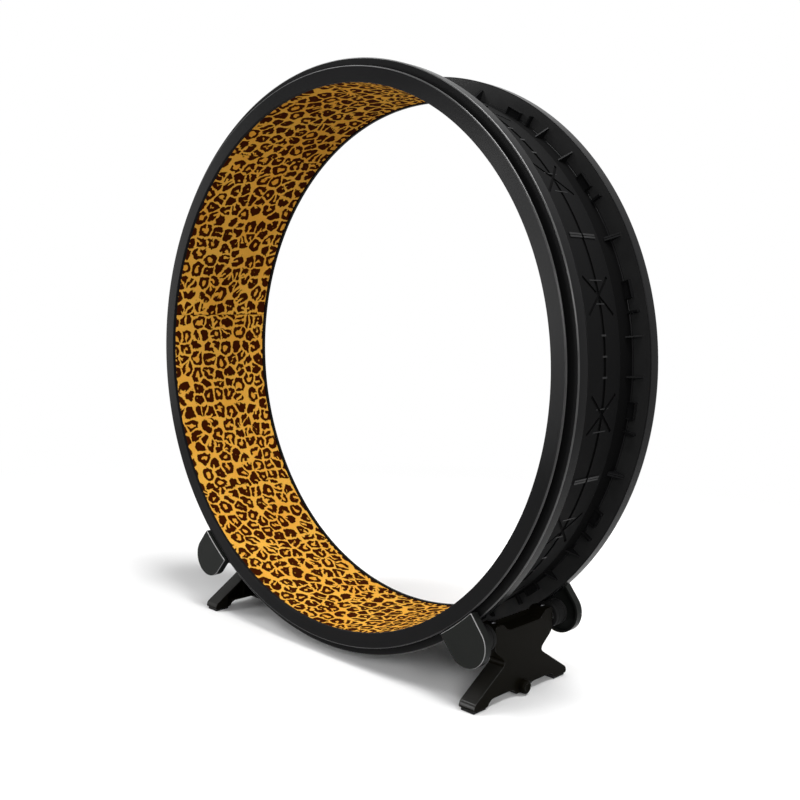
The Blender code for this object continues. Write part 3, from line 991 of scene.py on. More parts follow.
@dataclass(frozen=True)
class DrumDetails:
    """Moulded details outside the drum; angles are in degrees from an arc's middle."""

    ring: Ring
    cross_angles: Floats = (-10.0, 11.2)
    cross_reach: float = 0.0255
    cross_slope: float = math.radians(48)
    cross_width: float = 0.0036
    cross_depth: float = 0.0015
    cross_cuts: int = 9
    cross_past: float = 0.0020      # how far a cutter stands out of the drum
    short_ticks: Floats = (-3.4, 0.35, 4.1)
    long_ticks: Floats = (-13.2, -9.0, 9.7, 14.0)
    short_size: Triple = (0.0012, 0.0050, 0.0003)   # half width, length and rise of a tick
    long_size: Triple = (0.0007, 0.0130, 0.0004)
    tick_root: float = 0.0004
    tick_rounding: float = 0.0002
    joint_start: float = 0.0003     # of the bar and the web beside each joint
    bar_end: float = 0.0030
    bar_depth: Pair = (0.0260, 0.0016)
    bar_rise: float = 0.0012
    bar_rounding: float = 0.0003
    web_end: float = 0.0024
    clip_angles: Floats = (-10.0, 12.4)
    clip_half: float = 0.0110
    clip_high: float = 0.0105
    panel_rim: float = 0.0014       # round the sunk panel of a clip
    panel_slope: float = 0.0004
    panel_depth: float = 0.0016
    hook_angles: Floats = (-14.2, 8.2)
    hook_half: float = 0.0016
    hook_high: float = 0.0150
    hook_rounding: float = 0.0005
    gusset_angles: Floats = (-3.7, 3.7)
    gusset_half: float = 0.0009
    web_reach: float = 0.0160
    web_foot: float = 0.0008        # height of a web's low end
    web_top: float = 0.0010         # width of its high end, and of the rounding there
    root: float = 0.0010            # how far a detail reaches into the wall that carries it
    drum_root: float = 0.0005       # and into the drum beside it
    out: float = 0.0060             # how far a clip or hook stands out from the wall

    def flat_block(self, end: End, along: Sequence[float], depth: Pair,
                   height: Pair, angle: float, rounding: float) -> BMesh:
        """Make a small block on the drum.

        Args:
            end: Which half carries it.
            along: Start and end along the drum.
            depth: Start and end, measured from the half's face.
            height: Lowest and highest radius.
            angle: Where its zero is.
            rounding: Width of its rounded edges.

        Returns:
            The block, bent round the drum.
        """
        y = sorted(end.value * (self.ring.half_depth - d) for d in depth)
        bm = block((along[0], y[0], height[0]), (along[1], y[1], height[1]), rounding)
        return wrapped(bm, angle, self.ring.strip)

    def raised(self, end: End) -> BMesh:
        """Make everything that stands up from the drum.

        Args:
            end: Which half.

        Returns:
            One bmesh of separate solids.
        """
        ring = self.ring
        mid, parts = ring.half_depth, []
        for angles, size in ((self.short_ticks, self.short_size),
                             (self.long_ticks, self.long_size)):
            half, length, rise = size
            parts += [self.flat_block(end, (-half, half), (mid - length, mid - ring.slit),
                                      (ring.strip_floor - self.tick_root, ring.strip + rise),
                                      angle, self.tick_rounding) for angle in angles]
        edge = math.degrees(ring.sweep) / 2
        for angle, way in ((-edge, 1), (edge, -1)):
            bar = sorted((way * self.joint_start, way * self.bar_end))
            depth = (mid - self.bar_depth[0], mid - self.bar_depth[1])
            height = (ring.strip - self.root, ring.strip + self.bar_rise)
            parts.append(self.flat_block(end, bar, depth, height, angle, self.bar_rounding))
            web = sorted((way * self.joint_start, way * self.web_end))
            parts.append(self.web(end, angle, web))
        parts += [self.clip(end, angle) for angle in self.clip_angles]
        depth = (ring.track_end - self.root, ring.track_end + self.out)
        height = (ring.channel - self.drum_root, ring.channel + self.hook_high)
        parts += [self.flat_block(end, (-self.hook_half, self.hook_half), depth, height, angle,
                                  self.hook_rounding) for angle in self.hook_angles]
        parts += [self.web(end, angle, (-self.gusset_half, self.gusset_half))
                  for angle in self.gusset_angles]
        return together(*parts)

    def clip(self, end: End, angle: float) -> BMesh:
        """Make one clip block on the track's inner wall, with a sunk panel in its face.

        Args:
            end: Which half.
            angle: Where its middle is.

        Returns:
            The clip.
        """
        ring = self.ring
        depth = (ring.track_end - self.root, ring.track_end + self.out)
        y = sorted(end.value * (ring.half_depth - d) for d in depth)
        bm = block((-self.clip_half, y[0], ring.channel - self.drum_root),
                   (self.clip_half, y[1], ring.channel + self.clip_high))
        front = [f for f in bm.faces if f.normal.y * -end.value > 0.9]
        bmesh.ops.inset_region(bm, faces=front, thickness=self.panel_rim, depth=0.0)
        bmesh.ops.inset_region(bm, faces=front, thickness=self.panel_slope,
                               depth=-self.panel_depth)
        return wrapped(bm, angle, ring.strip)

    def web(self, end: End, angle: float, along: Sequence[float]) -> BMesh:
        """Make one three-cornered web between the drum and the track's inner wall.

        Args:
            end: Which half.
            angle: Where it stands.
            along: Start and end along the drum.

        Returns:
            The web.
        """
        ring = self.ring
        stop = ring.track_end
        near, far = stop - self.root, stop + self.web_reach
        low, high = ring.channel - self.drum_root, ring.channel + self.web_reach
        corners = corners_of((near, low), (far, low), (far, ring.channel + self.web_foot),
                             (stop + self.web_top, high, self.web_top), (near, high))
        bm = outline_face(corners, lambda a, b: Vector(
            (along[0], end.value * (ring.half_depth - a), b)))
        extrude_face(bm, Vector((along[1] - along[0], 0.0, 0.0)))
        return wrapped(bm, angle, ring.strip)

    def strokes(self, way: int) -> BMesh:
        """Make the cutters for one direction of the crosses.

        Args:
            way: 1 or -1, the way the strokes lean.

        Returns:
            The cutters.
        """
        ring, parts = self.ring, []
        half, width = self.cross_reach / math.sin(self.cross_slope), self.cross_width / 2
        for angle in self.cross_angles:
            bm = block((-half, -width, ring.strip - self.cross_depth),
                       (half, width, ring.strip + self.cross_past))
            long_edges = [e for e in bm.edges if abs(e.verts[0].co.x - e.verts[1].co.x) > half]
            bmesh.ops.subdivide_edges(bm, edges=long_edges, cuts=self.cross_cuts,
                                      use_grid_fill=True)
            bmesh.ops.rotate(bm, cent=(0, 0, 0), verts=bm.verts,
                             matrix=Matrix.Rotation(way * self.cross_slope, 3, "Z"))
            parts.append(wrapped(bm, angle, ring.strip))
        return together(*parts)


@dataclass
class RimSet:
    """The sixteen moulded arcs of the ring."""

    ring: Ring
    material: Material
    crest: float = 0.00035          # height of the brightest painted highlight line on an edge
    flange_band: float = 0.0013     # height of the painted highlight on the flange's edge
    track_band: float = 0.0012
    track_round: float = 0.0014     # depth of the painted highlight on the track's edge

    def template(self, end: End) -> BMesh:
        """Build one arc with all its details, its middle on +X.

        Args:
            end: Which half.

        Returns:
            The arc.
        """
        details = DrumDetails(self.ring)
        bm = combined(self.ring.blank(end), details.raised(end), Join.UNION)
        bm = cut(bm, details.strokes(1), details.strokes(-1))
        mark_painted_light(bm, self.polish)
        return bm

    def polish(self, point: Vector) -> float:
        """Tell how much painted light a face of the rim gets.

        Args:
            point: Middle of a face of one arc.

        Returns:
            1 for a full painted highlight on an edge, less for fainter painted highlights on edges,
            the track's inner wall, the ticks and the bars, below 0 for painted shade in grooves,
            channels and on the drum's strip.
        """
        ring = self.ring
        depth = ring.half_depth - abs(point.y)
        radius = math.hypot(point.x, point.z)
        face = ring.flange_thick - 0.0004
        # painted highlight along the flange's outer edge
        if radius > ring.flange - self.flange_band and depth < face:
            return 1.0 if radius > ring.flange - self.crest else 0.5
        # painted highlight along the track's front edge
        track = ring.track - self.track_band
        if radius > track and abs(depth - ring.track_start) < self.track_round:
            return 1.0 if radius > ring.track - self.crest else 0.8
        # painted shade in the groove between flange and track
        if face < depth < ring.track_start + 0.0005 and radius < track:
            return -0.5
        # painted light on the track's inner wall
        wall = ring.channel + 0.0020 < radius < ring.track - 0.0010
        if wall and abs(depth - ring.track_end) < 0.0006:
            return 0.4
        # painted shade in the channels, the seam and the crosses' grooves
        in_channel = ring.track_end + 0.0002 < depth < ring.strip_start + 0.0003
        in_seam = depth > ring.strip_start + 0.0005 and ring.lap < radius < ring.strip - 0.0003
        if in_seam or in_channel and radius < ring.channel + 0.0006:
            return -1.0
        # painted highlight on the raised ticks and bars, painted shade on the drum's strip
        if depth > ring.strip_start + 0.0010 and radius > ring.lap:
            return 0.15 if radius > ring.strip + 0.00015 else -0.7
        return 0.0

    def build(self) -> list[Object]:
        """Build and place all arcs.

        Returns:
            The pieces.
        """
        made = []
        for end in End:
            template = self.template(end)
            for index in range(self.ring.arcs):
                middle = self.ring.first_joint + (index + 0.5) * self.ring.sweep
                turn = Matrix.Rotation(-middle, 4, "Y")
                bm = moved(template.copy(), Matrix.Translation(self.ring.centre) @ turn)
                item = finished(bm, f"{end.label}_arc_{index + 1}", self.material)
                made.append(dress(item, "wheel", "ring_plastic", f"{end.label}_rim_{index + 1}"))
            template.free()
        return made


@dataclass
class RunningMat:
    """The eight strips of carpet inside the drum."""

    ring: Ring
    material: Material
    thick: float = 0.0033
    clearance: float = 0.0001
    first_joint: float = math.radians(37.3)
    slit: float = 0.00035
    edge_rounding: float = 0.0012
    end_rounding: float = 0.0011
    steps: int = 48
    map_shift: Pair = (0.353, 0.217)

    def strip(self, index: int) -> BMesh:
        """Build one strip with its map.

        Args:
            index: Number of the strip, from 0.

        Returns:
            The strip, round the origin.
        """
        ring = self.ring
        outer = ring.seat - self.clearance
        inner = outer - self.thick
        half = ring.half_depth - ring.lip_thick - 2 * self.clearance
        corners = corners_of((-half, inner, self.edge_rounding), (-half, outer),
                             (half, outer), (half, inner, self.edge_rounding))
        gap = 2 * self.slit / inner
        start = self.first_joint + index * ring.sweep + gap / 2
        bm = swept(outline_face(corners, lambda a, b: Vector((b, a, 0.0))), start,
                   ring.sweep - gap, self.steps)
        ends = [f for f in bm.faces if len(f.verts) > 4]
        rims = [e for f in ends for e in f.edges
                if all(math.hypot(v.co.x, v.co.z) < inner + 1e-5 for v in e.verts)]
        round_off(bm, rims, self.end_rounding, 2, clamp=False)
        self.map_strip(bm, start, inner, index)
        return bm

    def map_strip(self, bm: BMesh, start: float, radius: float, index: int) -> None:
        """Unroll a strip into its map, in metres, each strip cut from its own place.

        Args:
            bm: The strip, changed in place.
            start: Angle of its first end.
            radius: Radius of its upper surface.
            index: Number of the strip.
        """
        layer = bm.loops.layers.uv.new(MAT_MAP)
        shift = Vector((self.map_shift[0] * index, self.map_shift[1] * index))
        for face in bm.faces:
            for loop in face.loops:
                point = loop.vert.co
                angle = (math.atan2(point.z, point.x) - start + math.pi) % math.tau - math.pi
                loop[layer].uv = shift + Vector((angle * radius, point.y))

    def build(self) -> list[Object]:
        """Returns:
            The pieces.
        """
        made = []
        ring = self.ring
        for index in range(ring.arcs):
            bm = moved(self.strip(index), Matrix.Translation(ring.centre))
            item = finished(bm, f"mat_strip_{index + 1}", self.material)
            dress(item, "wheel", "leopard_mat", f"running_mat_{index + 1}")
            made.append(item)
        return made


@dataclass(frozen=True)
class RollerPlaces:
    """Where the four rollers sit, and the sizes that they share with their neighbours."""

    x: float = 0.263307
    z: float = 0.088300
    y: float = 0.075503
    axis_radius: float = 0.4175
    angle: float = math.radians(39.1)
    radius: float = 0.0172
    length: float = 0.0240
    arm_half: float = 0.0600
    arm_top: float = 0.1030
    cover_open: float = 0.0910
    cover_face: float = 0.10325
    hex_radius: float = 0.0038
    hex_play: float = 0.0002
    screw_y: float = 0.0520
    plug_z: float = 0.0110

    def unit(self, side: Side, end: End) -> Matrix:
        """Frame of one roller unit: its +Z points at the wheel's axis, its +Y inwards.

        Args:
            side: Which stand.
            end: Which end.

        Returns:
            The frame.
        """
        turn = Matrix.Rotation(-side.value * self.angle, 4, "Y")
        if end is End.REAR:
            turn = turn @ Matrix.Rotation(math.pi, 4, "Z")
        return Matrix.Translation((side.value * self.x, 0.0, self.z)) @ turn

    def hex_turn(self, side: Side, end: End) -> float:
        """Turn of a hexagon in a unit's frame that brings one of its flats level."""
        return LEVEL_HEX - side.value * end.value * self.angle


@dataclass
class Cover:
    """One roller cover: a shallow cup with a hollow upper edge that follows the ring."""

    places: RollerPlaces
    ring: Ring
    material: Material
    radius: float = 0.0305
    run: float = 0.0020
    plate: float = 0.0035
    wall: float = 0.0030
    edge: float = 0.0014
    tip: float = 0.0014
    inner_tip: float = 0.0010
    boss_radius: float = 0.0075
    boss_short: float = 0.0008
    boss_root: float = 0.0005
    socket_depth: float = 0.0075
    cutter: float = 0.0200          # length of what hollows the cup out
    round_steps: int = 32
    top_steps: int = 14

    def outline(self, inset: float, tip: float) -> list[Corner]:
        """Outline of the cup, drawn in by an inset.

        Args:
            inset: How far it is drawn in.
            tip: Rounding of its two upper corners.

        Returns:
            The corners.
        """
        half = self.radius - inset
        hollow = self.ring.flange + self.run + inset
        corners = []
        for step in range(1, self.round_steps):
            angle = math.pi + math.pi * step / self.round_steps
            corners.append(Corner(half * math.cos(angle), half * math.sin(angle)))
        for step in range(self.top_steps + 1):
            across = half - 2 * half * step / self.top_steps
            top = self.places.axis_radius - math.sqrt(hollow ** 2 - across ** 2)
            corners.append(Corner(across, top, tip if step in (0, self.top_steps) else 0.0))
        return corners

    def template(self) -> BMesh:
        """Build the cup round the roller's own axis, its face towards -Y.

        Returns:
            The cup, without the socket for the axle.
        """
        face, back = -self.places.cover_face, -self.places.cover_open
        inside = face + self.plate
        bm = outline_face(self.outline(0.0, self.tip), lambda a, b: Vector((a, back, b)))
        bevel_rim(bm, extrude_face(bm, Vector((0.0, face - back, 0.0))), self.edge)
        hollow = outline_face(self.outline(self.wall, self.inner_tip),
                              lambda a, b: Vector((a, inside, b)))
        extrude_face(hollow, Vector((0.0, self.cutter, 0.0)))
        boss = rod(self.boss_radius, inside - self.boss_root, back - self.boss_short, Axis.Y, 32)
        return combined(cut(bm, hollow), boss, Join.UNION)

    def polish(self, point: Vector) -> float:
        """Mark the painted highlight on the rim round the cup's face: 1 on its rounded edge, 0
        elsewhere.
        """
        depth = point.y + self.places.cover_face
        return 1.0 if 0.0001 < depth < self.edge * 0.9 else 0.0

    def build(self) -> list[Object]:
        """Build and place all four covers.

        Returns:
            The pieces.
        """
        made = []
        places, template = self.places, self.template()
        for side in Side:
            for end in End:
                socket = rod(places.hex_radius + places.hex_play,
                             -places.cover_open - self.socket_depth, 0.0, Axis.Y, 6,
                             places.hex_turn(side, end))
                bm = cut(template.copy(), socket)
                mark_painted_light(bm, self.polish)
                name = f"{side.label}_{end.label}_cover"
                item = finished(moved(bm, places.unit(side, end)), name + "_cup", self.material)
                made.append(dress(item, "base", "cover_plastic", name))
        template.free()
        return made


@dataclass
class Stand:
    """The two X-shaped stands, hollow and ribbed on the side that faces the ring."""

    places: RollerPlaces
    material: Material
    inner: float = 0.250807
    outer: float = 0.275807
    base: float = 0.0033
    reach: float = 0.0975
    toe: float = 0.0110
    waist: Pair = (0.0350, 0.0510)
    arm_low: float = 0.0710
    arm_length: float = 0.0150
    arm_cut: float = 0.0650         # where the cutters end, past the arm
    valley: Pair = (0.0340, 0.0925)
    arch: Triple = (0.0140, 0.0700, 0.0080)
    face_wall: float = 0.0050
    side_wall: float = 0.0035
    pocket_reach: float = 0.0785
    rib: float = 0.0030
    rib_spacing: float = 0.0430
    boss_radius: float = 0.0085
    boss_reach: float = 0.0375
    plug_boss: float = 0.0075
    plug_hole: float = 0.0042
    socket_start: float = 0.0415
    screw_hole: float = 0.0022
    screw_low: float = 0.0042       # from the axle's middle to the screw hole's end
    past: float = 0.0050            # how far a cutter passes the surface
    pocket_past: float = 0.0040     # how far the pocket passes the open side
    outer_rounding: float = 0.0026
    back_rounding: float = 0.0007
    lip_half: float = 0.0480        # of the raised lip behind the valley
    lip_high: float = 0.0065
    lip_low: float = 0.0030
    lip_depth: Pair = (0.0004, 0.0032)
    # strength of the painted highlight on the outer edges, and on the legs' tops and toes
    edge_polish: float = 0.5
    leg_polish: float = 0.25

    def leg_top(self, out: float) -> float:
        """Height of a leg's top at a distance from the stand's middle."""
        slope = (self.waist[1] - self.toe) / (self.reach - self.waist[0])
        return self.waist[1] - slope * (out - self.waist[0])

    def outline(self, reach: float, rounded: bool) -> list[Corner]:
        """Outline of a stand in (y, z), its feet cut off at a reach.

        Args:
            reach: Half the length that is kept.
            rounded: Whether the corners get their roundings.

        Returns:
            The corners.
        """
        arm, top = self.places.arm_half, self.places.arm_top
        near, far, high = self.arch
        side = high * 1.1 * 0.45
        half = corners_of(
            (near, self.base, 0.0027), (near + side, self.base + high, 0.0070),
            (far - side, self.base + high, 0.0070), (far, self.base, 0.0027),
            (reach, self.base, 0.0030), (reach, self.leg_top(reach), 0.0045),
            (*self.waist, 0.0080), (arm, self.arm_low, 0.0050), (arm, top, 0.0040),
            (arm - self.arm_length, top, 0.0040), (*self.valley, 0.0050))
        whole = half + [Corner(-c.a, c.b, c.rounding) for c in reversed(half)]
        return whole if rounded else [Corner(c.a, c.b) for c in whole]

    def body(self) -> BMesh:
        """Build the solid body of the right stand.

        Returns:
            The body with its outer edges rounded.
        """
        bm = outline_face(self.outline(self.reach, True),
                          lambda a, b: Vector((self.inner, a, b)), 4)
        front = extrude_face(bm, Vector((self.outer - self.inner, 0.0, 0.0)))
        bevel_rim(bm, front, self.outer_rounding, 4)
        back = [f for f in bm.faces if f.normal.x < -0.99]
        bevel_rim(bm, back, self.back_rounding, 2)
        return bm

    def pocket(self) -> BMesh:
        """Build the hollow of the right stand: its outline drawn in, less ribs and bosses.

        Returns:
            The solid that is cut out of the body.
        """
        places, over = self.places, self.places.arm_top + self.past
        floor = self.outer - self.face_wall
        bm = outline_face(self.outline(self.pocket_reach, False),
                          lambda a, b: Vector((self.inner - self.pocket_past, a, b)))
        face = bm.faces[:][0]
        bmesh.ops.inset_individual(bm, faces=[face], thickness=self.side_wall,
                                   use_even_offset=True)
        bmesh.ops.delete(bm, geom=[f for f in bm.faces if f is not face], context="FACES")
        round_off(bm, bm.verts[:], 0.0016, 2, Rounded.CORNERS)
        extrude_face(bm, Vector((floor - self.inner + self.pocket_past, 0.0, 0.0)))
        near, far = self.inner - 2 * self.pocket_past, floor + self.pocket_past
        ribs = [block((near, mid - self.rib / 2, 0.0), (far, mid + self.rib / 2, over))
                for mid in (-self.rib_spacing, 0.0, self.rib_spacing)]
        tools = [together(*ribs)]
        for end in End:
            reach = sorted((end.value * self.boss_reach, end.value * self.arm_cut))
            boss = moved(rod(self.boss_radius, reach[0], reach[1], Axis.Y, 32),
                         Matrix.Translation((places.x, 0.0, places.z)))
            back = block((places.x, reach[0], places.z - self.boss_radius), (far, reach[1], over))
            tools += [boss, back]
        tools.append(moved(rod(self.plug_boss, near, far, Axis.X, 32),
                           Matrix.Translation((0.0, 0.0, places.plug_z))))
        return cut(bm, *tools)

    def openings(self) -> BMesh:
        """Build the sockets for the axles, the screw holes and the plug's hole.

        Returns:
            The separate cutters.
        """
        places, parts = self.places, []
        for end in End:
            socket = rod(places.hex_radius + places.hex_play, end.value * self.socket_start,
                         end.value * self.arm_cut, Axis.Y, 6, LEVEL_HEX)
            parts.append(moved(socket, Matrix.Translation((places.x, 0.0, places.z))))
            hole = rod(self.screw_hole, places.z + self.screw_low, places.arm_top + self.past,
                       Axis.Z, 24)
            shift = (places.x, end.value * places.screw_y, 0.0)
            parts.append(moved(hole, Matrix.Translation(shift)))
        plug = rod(self.plug_hole, self.inner - self.past, self.outer + self.past, Axis.X, 32)
        parts.append(moved(plug, Matrix.Translation((0.0, 0.0, places.plug_z))))
        return together(*parts)

    def polish(self, point: Vector) -> float:
        """Tell how much painted highlight a face of a stand gets.

        Args:
            point: Middle of a face.

        Returns:
            More than 0 on the outer edges, the legs' tops and the toes.
        """
        out = abs(point.y)
        if self.outer - self.outer_rounding * 0.8 < abs(point.x) < self.outer - 0.0002:
            return self.edge_polish
        on_toe = out > self.reach - 0.0050 and point.z > self.toe - 0.0045
        on_leg = out > self.waist[0] + 0.010 and abs(point.z - self.leg_top(out)) < 0.0008
        return self.leg_polish if on_toe or on_leg else 0.0

    def build(self) -> list[Object]:
        """Build the right stand, and the left one as its mirror image.

        Returns:
            The pieces.
        """
        right = cut(self.body(), self.pocket())
        near, far = self.inner + self.lip_depth[0], self.inner + self.lip_depth[1]
        lip = block((near, -self.lip_half, self.valley[1] - self.lip_low),
                    (far, self.lip_half, self.valley[1] + self.lip_high), 0.0006)
        right = cut(combined(right, lip, Join.UNION), self.openings())
        mark_painted_light(right, self.polish)
        made = []
        for side in Side:
            bm = moved(right.copy(), Matrix.Diagonal((side.value, 1.0, 1.0, 1.0)))
            item = finished(bm, f"{side.label}_stand_moulding", self.material)
            made.append(dress(item, "base", "stand_plastic", f"{side.label}_stand"))
        right.free()
        return made


@dataclass
class RollerUnit:
    """Rollers with their bearings, axles and screws."""

    places: RollerPlaces
    finishes: Finishes
    bearing_radius: float = 0.0110
    bearing_width: float = 0.0070
    bearing_play: float = 0.0002
    shoulder: float = 0.0020
    race_thick: float = 0.0018
    bore: float = 0.0042
    inner_race: float = 0.0060
    shield_low: float = 0.0004      # how deep the shields lie
    shield_gap: float = 0.0002
    groove: float = 0.0060
    groove_depth: float = 0.0009
    groove_top: float = 0.0008      # half its width at the surface
    groove_floor: float = 0.0005    # and at its floor
    collar_radius: float = 0.0040
    screw_radius: float = 0.0020
    head_radius: float = 0.0040
    head_high: float = 0.0024
    key_radius: float = 0.0015
    key_start: float = 0.0010       # of the key socket, above the arm
    key_end: float = 0.0060
    axle_start: float = 0.0418
    axle_past: float = 0.0072       # into the cover, past its open side
    gap: float = 0.0003

    def sleeve(self) -> BMesh:
        """Build one roller sleeve round the Y axis.

        Returns:
            The sleeve.
        """
        half, radius = self.places.length / 2, self.places.radius
        bore, low = self.bearing_radius + self.bearing_play, radius - self.groove_depth
        seat = half - self.bearing_width - self.bearing_play
        shoulder = self.bearing_radius - self.shoulder
        rows = [(-half, bore, 0.0004), (-half, radius, 0.0012)]
        top, floor = self.groove_top, self.groove_floor
        for mid in (-self.groove, self.groove):
            rows += [(mid - top, radius, 0.0003), (mid - floor, low, 0.0002),
                     (mid + floor, low, 0.0002), (mid + top, radius, 0.0003)]
        rows += [(half, radius, 0.0012), (half, bore, 0.0004), (seat, bore), (seat, shoulder),
                 (-seat, shoulder), (-seat, bore)]
        return turned(corners_of(*rows), 64)

    def bearing(self) -> BMesh:
        """Build one ball bearing round the Y axis: two races and the shields between them.

        Returns:
            The bearing.
        """
        half, out = self.bearing_width / 2, self.bearing_radius
        shield = half - self.shield_low
        rings = []
        for deep, low, high, rounding in (
                (half, out - self.race_thick, out, 0.0003),
                (half, self.bore, self.inner_race, 0.0003),
                (shield, self.inner_race + self.shield_gap, out - self.race_thick - self.shield_gap,
                 0.0002)):
            rows = [(side, radius, rounding) for side, radius in
                    ((-deep, low), (-deep, high), (deep, high), (deep, low))]
            rings.append(turned(corners_of(*rows), 48, 2))
        return together(*rings)

    def axle(self, end: End) -> BMesh:
        """Build one axle: hexagon ends, and a round part under the bearings.

        Args:
            end: Which end of the stand carries it.

        Returns:
            The axle round the Y axis.
        """
        places, radius = self.places, self.collar_radius
        start, stop = sorted((end.value * self.axle_start,
                              end.value * (places.cover_open + self.axle_past)))
        bar = rod(places.hex_radius, start, stop, Axis.Y, 6, LEVEL_HEX)
        bevel_rim(bar, [f for f in bar.faces if abs(f.normal.y) > 0.9], 0.0005, 2)
        start, stop = sorted((end.value * (places.arm_half + self.gap),
                              end.value * (places.cover_open + 0.0005)))
        collar = turned(corners_of((start, 0.0), (start, radius, 0.0003),
                                   (stop, radius, 0.0003), (stop, 0.0)), 40, 2)
        return combined(bar, collar, Join.UNION)

    def screw(self) -> BMesh:
        """Build one locking screw with a domed head and a hexagon key socket.

        Returns:
            The screw along the Z axis, in its real height.
        """
        places = self.places
        seat = places.arm_top + self.gap
        top = seat + self.head_high
        tip = places.z + places.hex_radius * math.cos(LEVEL_HEX) + self.gap
        bm = turned(corners_of((tip, 0.0), (tip, self.screw_radius, 0.0004),
                               (seat, self.screw_radius), (seat, self.head_radius, 0.0003),
                               (top, self.head_radius, 0.0016), (top, 0.0)), 40, 4)
        moved(bm, Matrix.Rotation(math.pi / 2, 4, "X"))
        key = rod(self.key_radius, seat + self.key_start, seat + self.key_end, Axis.Z, 6)
        return cut(bm, key)

    def build(self) -> list[Object]:
        """Build and place the rollers, bearings, axles and screws.

        Returns:
            The pieces.
        """
        made = []
        places, looks = self.places, self.finishes
        sleeve, bearing, screw = self.sleeve(), self.bearing(), self.screw()
        for end in End:
            axle = self.axle(end)
            for side in Side:
                name = f"{side.label}_{end.label}"
                unit = name + "_roller_unit"
                x, y = side.value * places.x, end.value * places.y
                push = end.value * (places.length - self.bearing_width) / 2
                for bm, place, piece, node, body, slot, look in (
                    (sleeve, (x, y, places.z), "roller_sleeve", "roller", unit,
                     "roller_plastic", looks.roller),
                    (bearing, (x, y + push, places.z), "outer_bearing_set", "outer_bearing",
                     unit, "steel", looks.steel),
                    (bearing, (x, y - push, places.z), "inner_bearing_set", "inner_bearing",
                     unit, "steel", looks.steel),
                    (axle, (x, 0.0, places.z), "axle_bar", "axle", "base", "steel",
                     looks.steel),
                    (screw, (x, end.value * places.screw_y, 0.0), "screw", "axle_screw",
                     "base", "steel", looks.screw),
                ):
                    solid = moved(bm.copy(), Matrix.Translation(place))
                    item = finished(solid, f"{name}_{piece}", look)
                    made.append(dress(item, body, slot, f"{name}_{node}"))
            axle.free()
        for bm in (sleeve, bearing, screw):
            bm.free()
        return made


@dataclass
class FootParts:
    """Rubber pads under the toes, and the plug in the middle of each stand."""

    places: RollerPlaces
    finishes: Finishes
    pad_near: float = 0.0720
    pad_far: float = 0.0955
    pad_half: float = 0.0105
    pad_thick: float = 0.0030
    grooves: Floats = (0.0045, 0.0090, 0.0135, 0.0180)
    groove_width: float = 0.0016
    groove_depth: float = 0.0009
    cutter_half: float = 0.0200
    cutter_low: float = -0.0010
    plug_inner: float = 0.250807
    plug_seat: float = 0.276107
    plug_face: float = 0.283500
    stem_radius: float = 0.0040
    head_radius: float = 0.0090
    dish_radius: float = 0.0048
    dish_depth: float = 0.0010

    def pad(self) -> BMesh:
        """Build one pad with a grooved sole, at the right front toe mirrored to +Y.

        Returns:
            The pad.
        """
        x = self.places.x
        bm = block((x - self.pad_half, self.pad_near, 0.0),
                   (x + self.pad_half, self.pad_far, self.pad_thick), 0.0006)
        cutters = []
        for groove in self.grooves:
            start = self.pad_near + groove
            cutters.append(block((x - self.cutter_half, start, self.cutter_low),
                                 (x + self.cutter_half, start + self.groove_width,
                                  self.groove_depth)))
        return cut(bm, together(*cutters))

    def plug(self) -> BMesh:
        """Build one plug along the X axis, its head outwards.

        Returns:
            The plug at its height in the right stand.
        """
        inner, seat, face = self.plug_inner, self.plug_seat, self.plug_face
        stem, head, dish = self.stem_radius, self.head_radius, face - self.dish_depth
        bm = turned(corners_of((inner, 0.0), (inner, stem, 0.0008), (seat, stem),
                               (seat, head, 0.0004), (face, head, 0.0022),
                               (face, self.dish_radius, 0.0005), (dish, stem, 0.0004),
                               (dish, 0.0)), 48, 4)
        moved(bm, Matrix.Rotation(-math.pi / 2, 4, "Z"))
        return moved(bm, Matrix.Translation((0.0, 0.0, self.places.plug_z)))

    def build(self) -> list[Object]:
        """Build and place the pads and plugs.

        Returns:
            The pieces.
        """
        made = []
        pad, plug = self.pad(), self.plug()
        for side in Side:
            for end in End:
                mirror = Matrix.Diagonal((side.value, end.value, 1.0, 1.0))
                name = f"{side.label}_{end.label}"
                item = finished(moved(pad.copy(), mirror), name + "_pad", self.finishes.rubber)
                made.append(dress(item, "base", "rubber", name + "_foot_pad"))
            mirror = Matrix.Diagonal((side.value, 1.0, 1.0, 1.0))
            item = finished(moved(plug.copy(), mirror), f"{side.label}_plug_button",
                            self.finishes.stand)
            made.append(dress(item, "base", "stand_plastic", f"{side.label}_plug"))
        pad.free()
        plug.free()
        return made


@dataclass(frozen=True)
class Softbox:
    """One soft studio lamp."""

    name: str
    place: Triple
    target: Triple
    width: float
    height: float
    power: float

    def build(self) -> Object:
        """Build the lamp.

        Returns:
            The lamp.
        """
        data = bpy.data.lights.new(self.name, "AREA")
        data.shape = "RECTANGLE"
        data.size, data.size_y = self.width, self.height
        data.energy = self.power
        lamp = placed(self.name, data)
        lamp.location = self.place
        way = Vector(self.target) - Vector(self.place)
        lamp.rotation_mode = "QUATERNION"
        lamp.rotation_quaternion = way.to_track_quat("-Z", "Y")
        return lamp


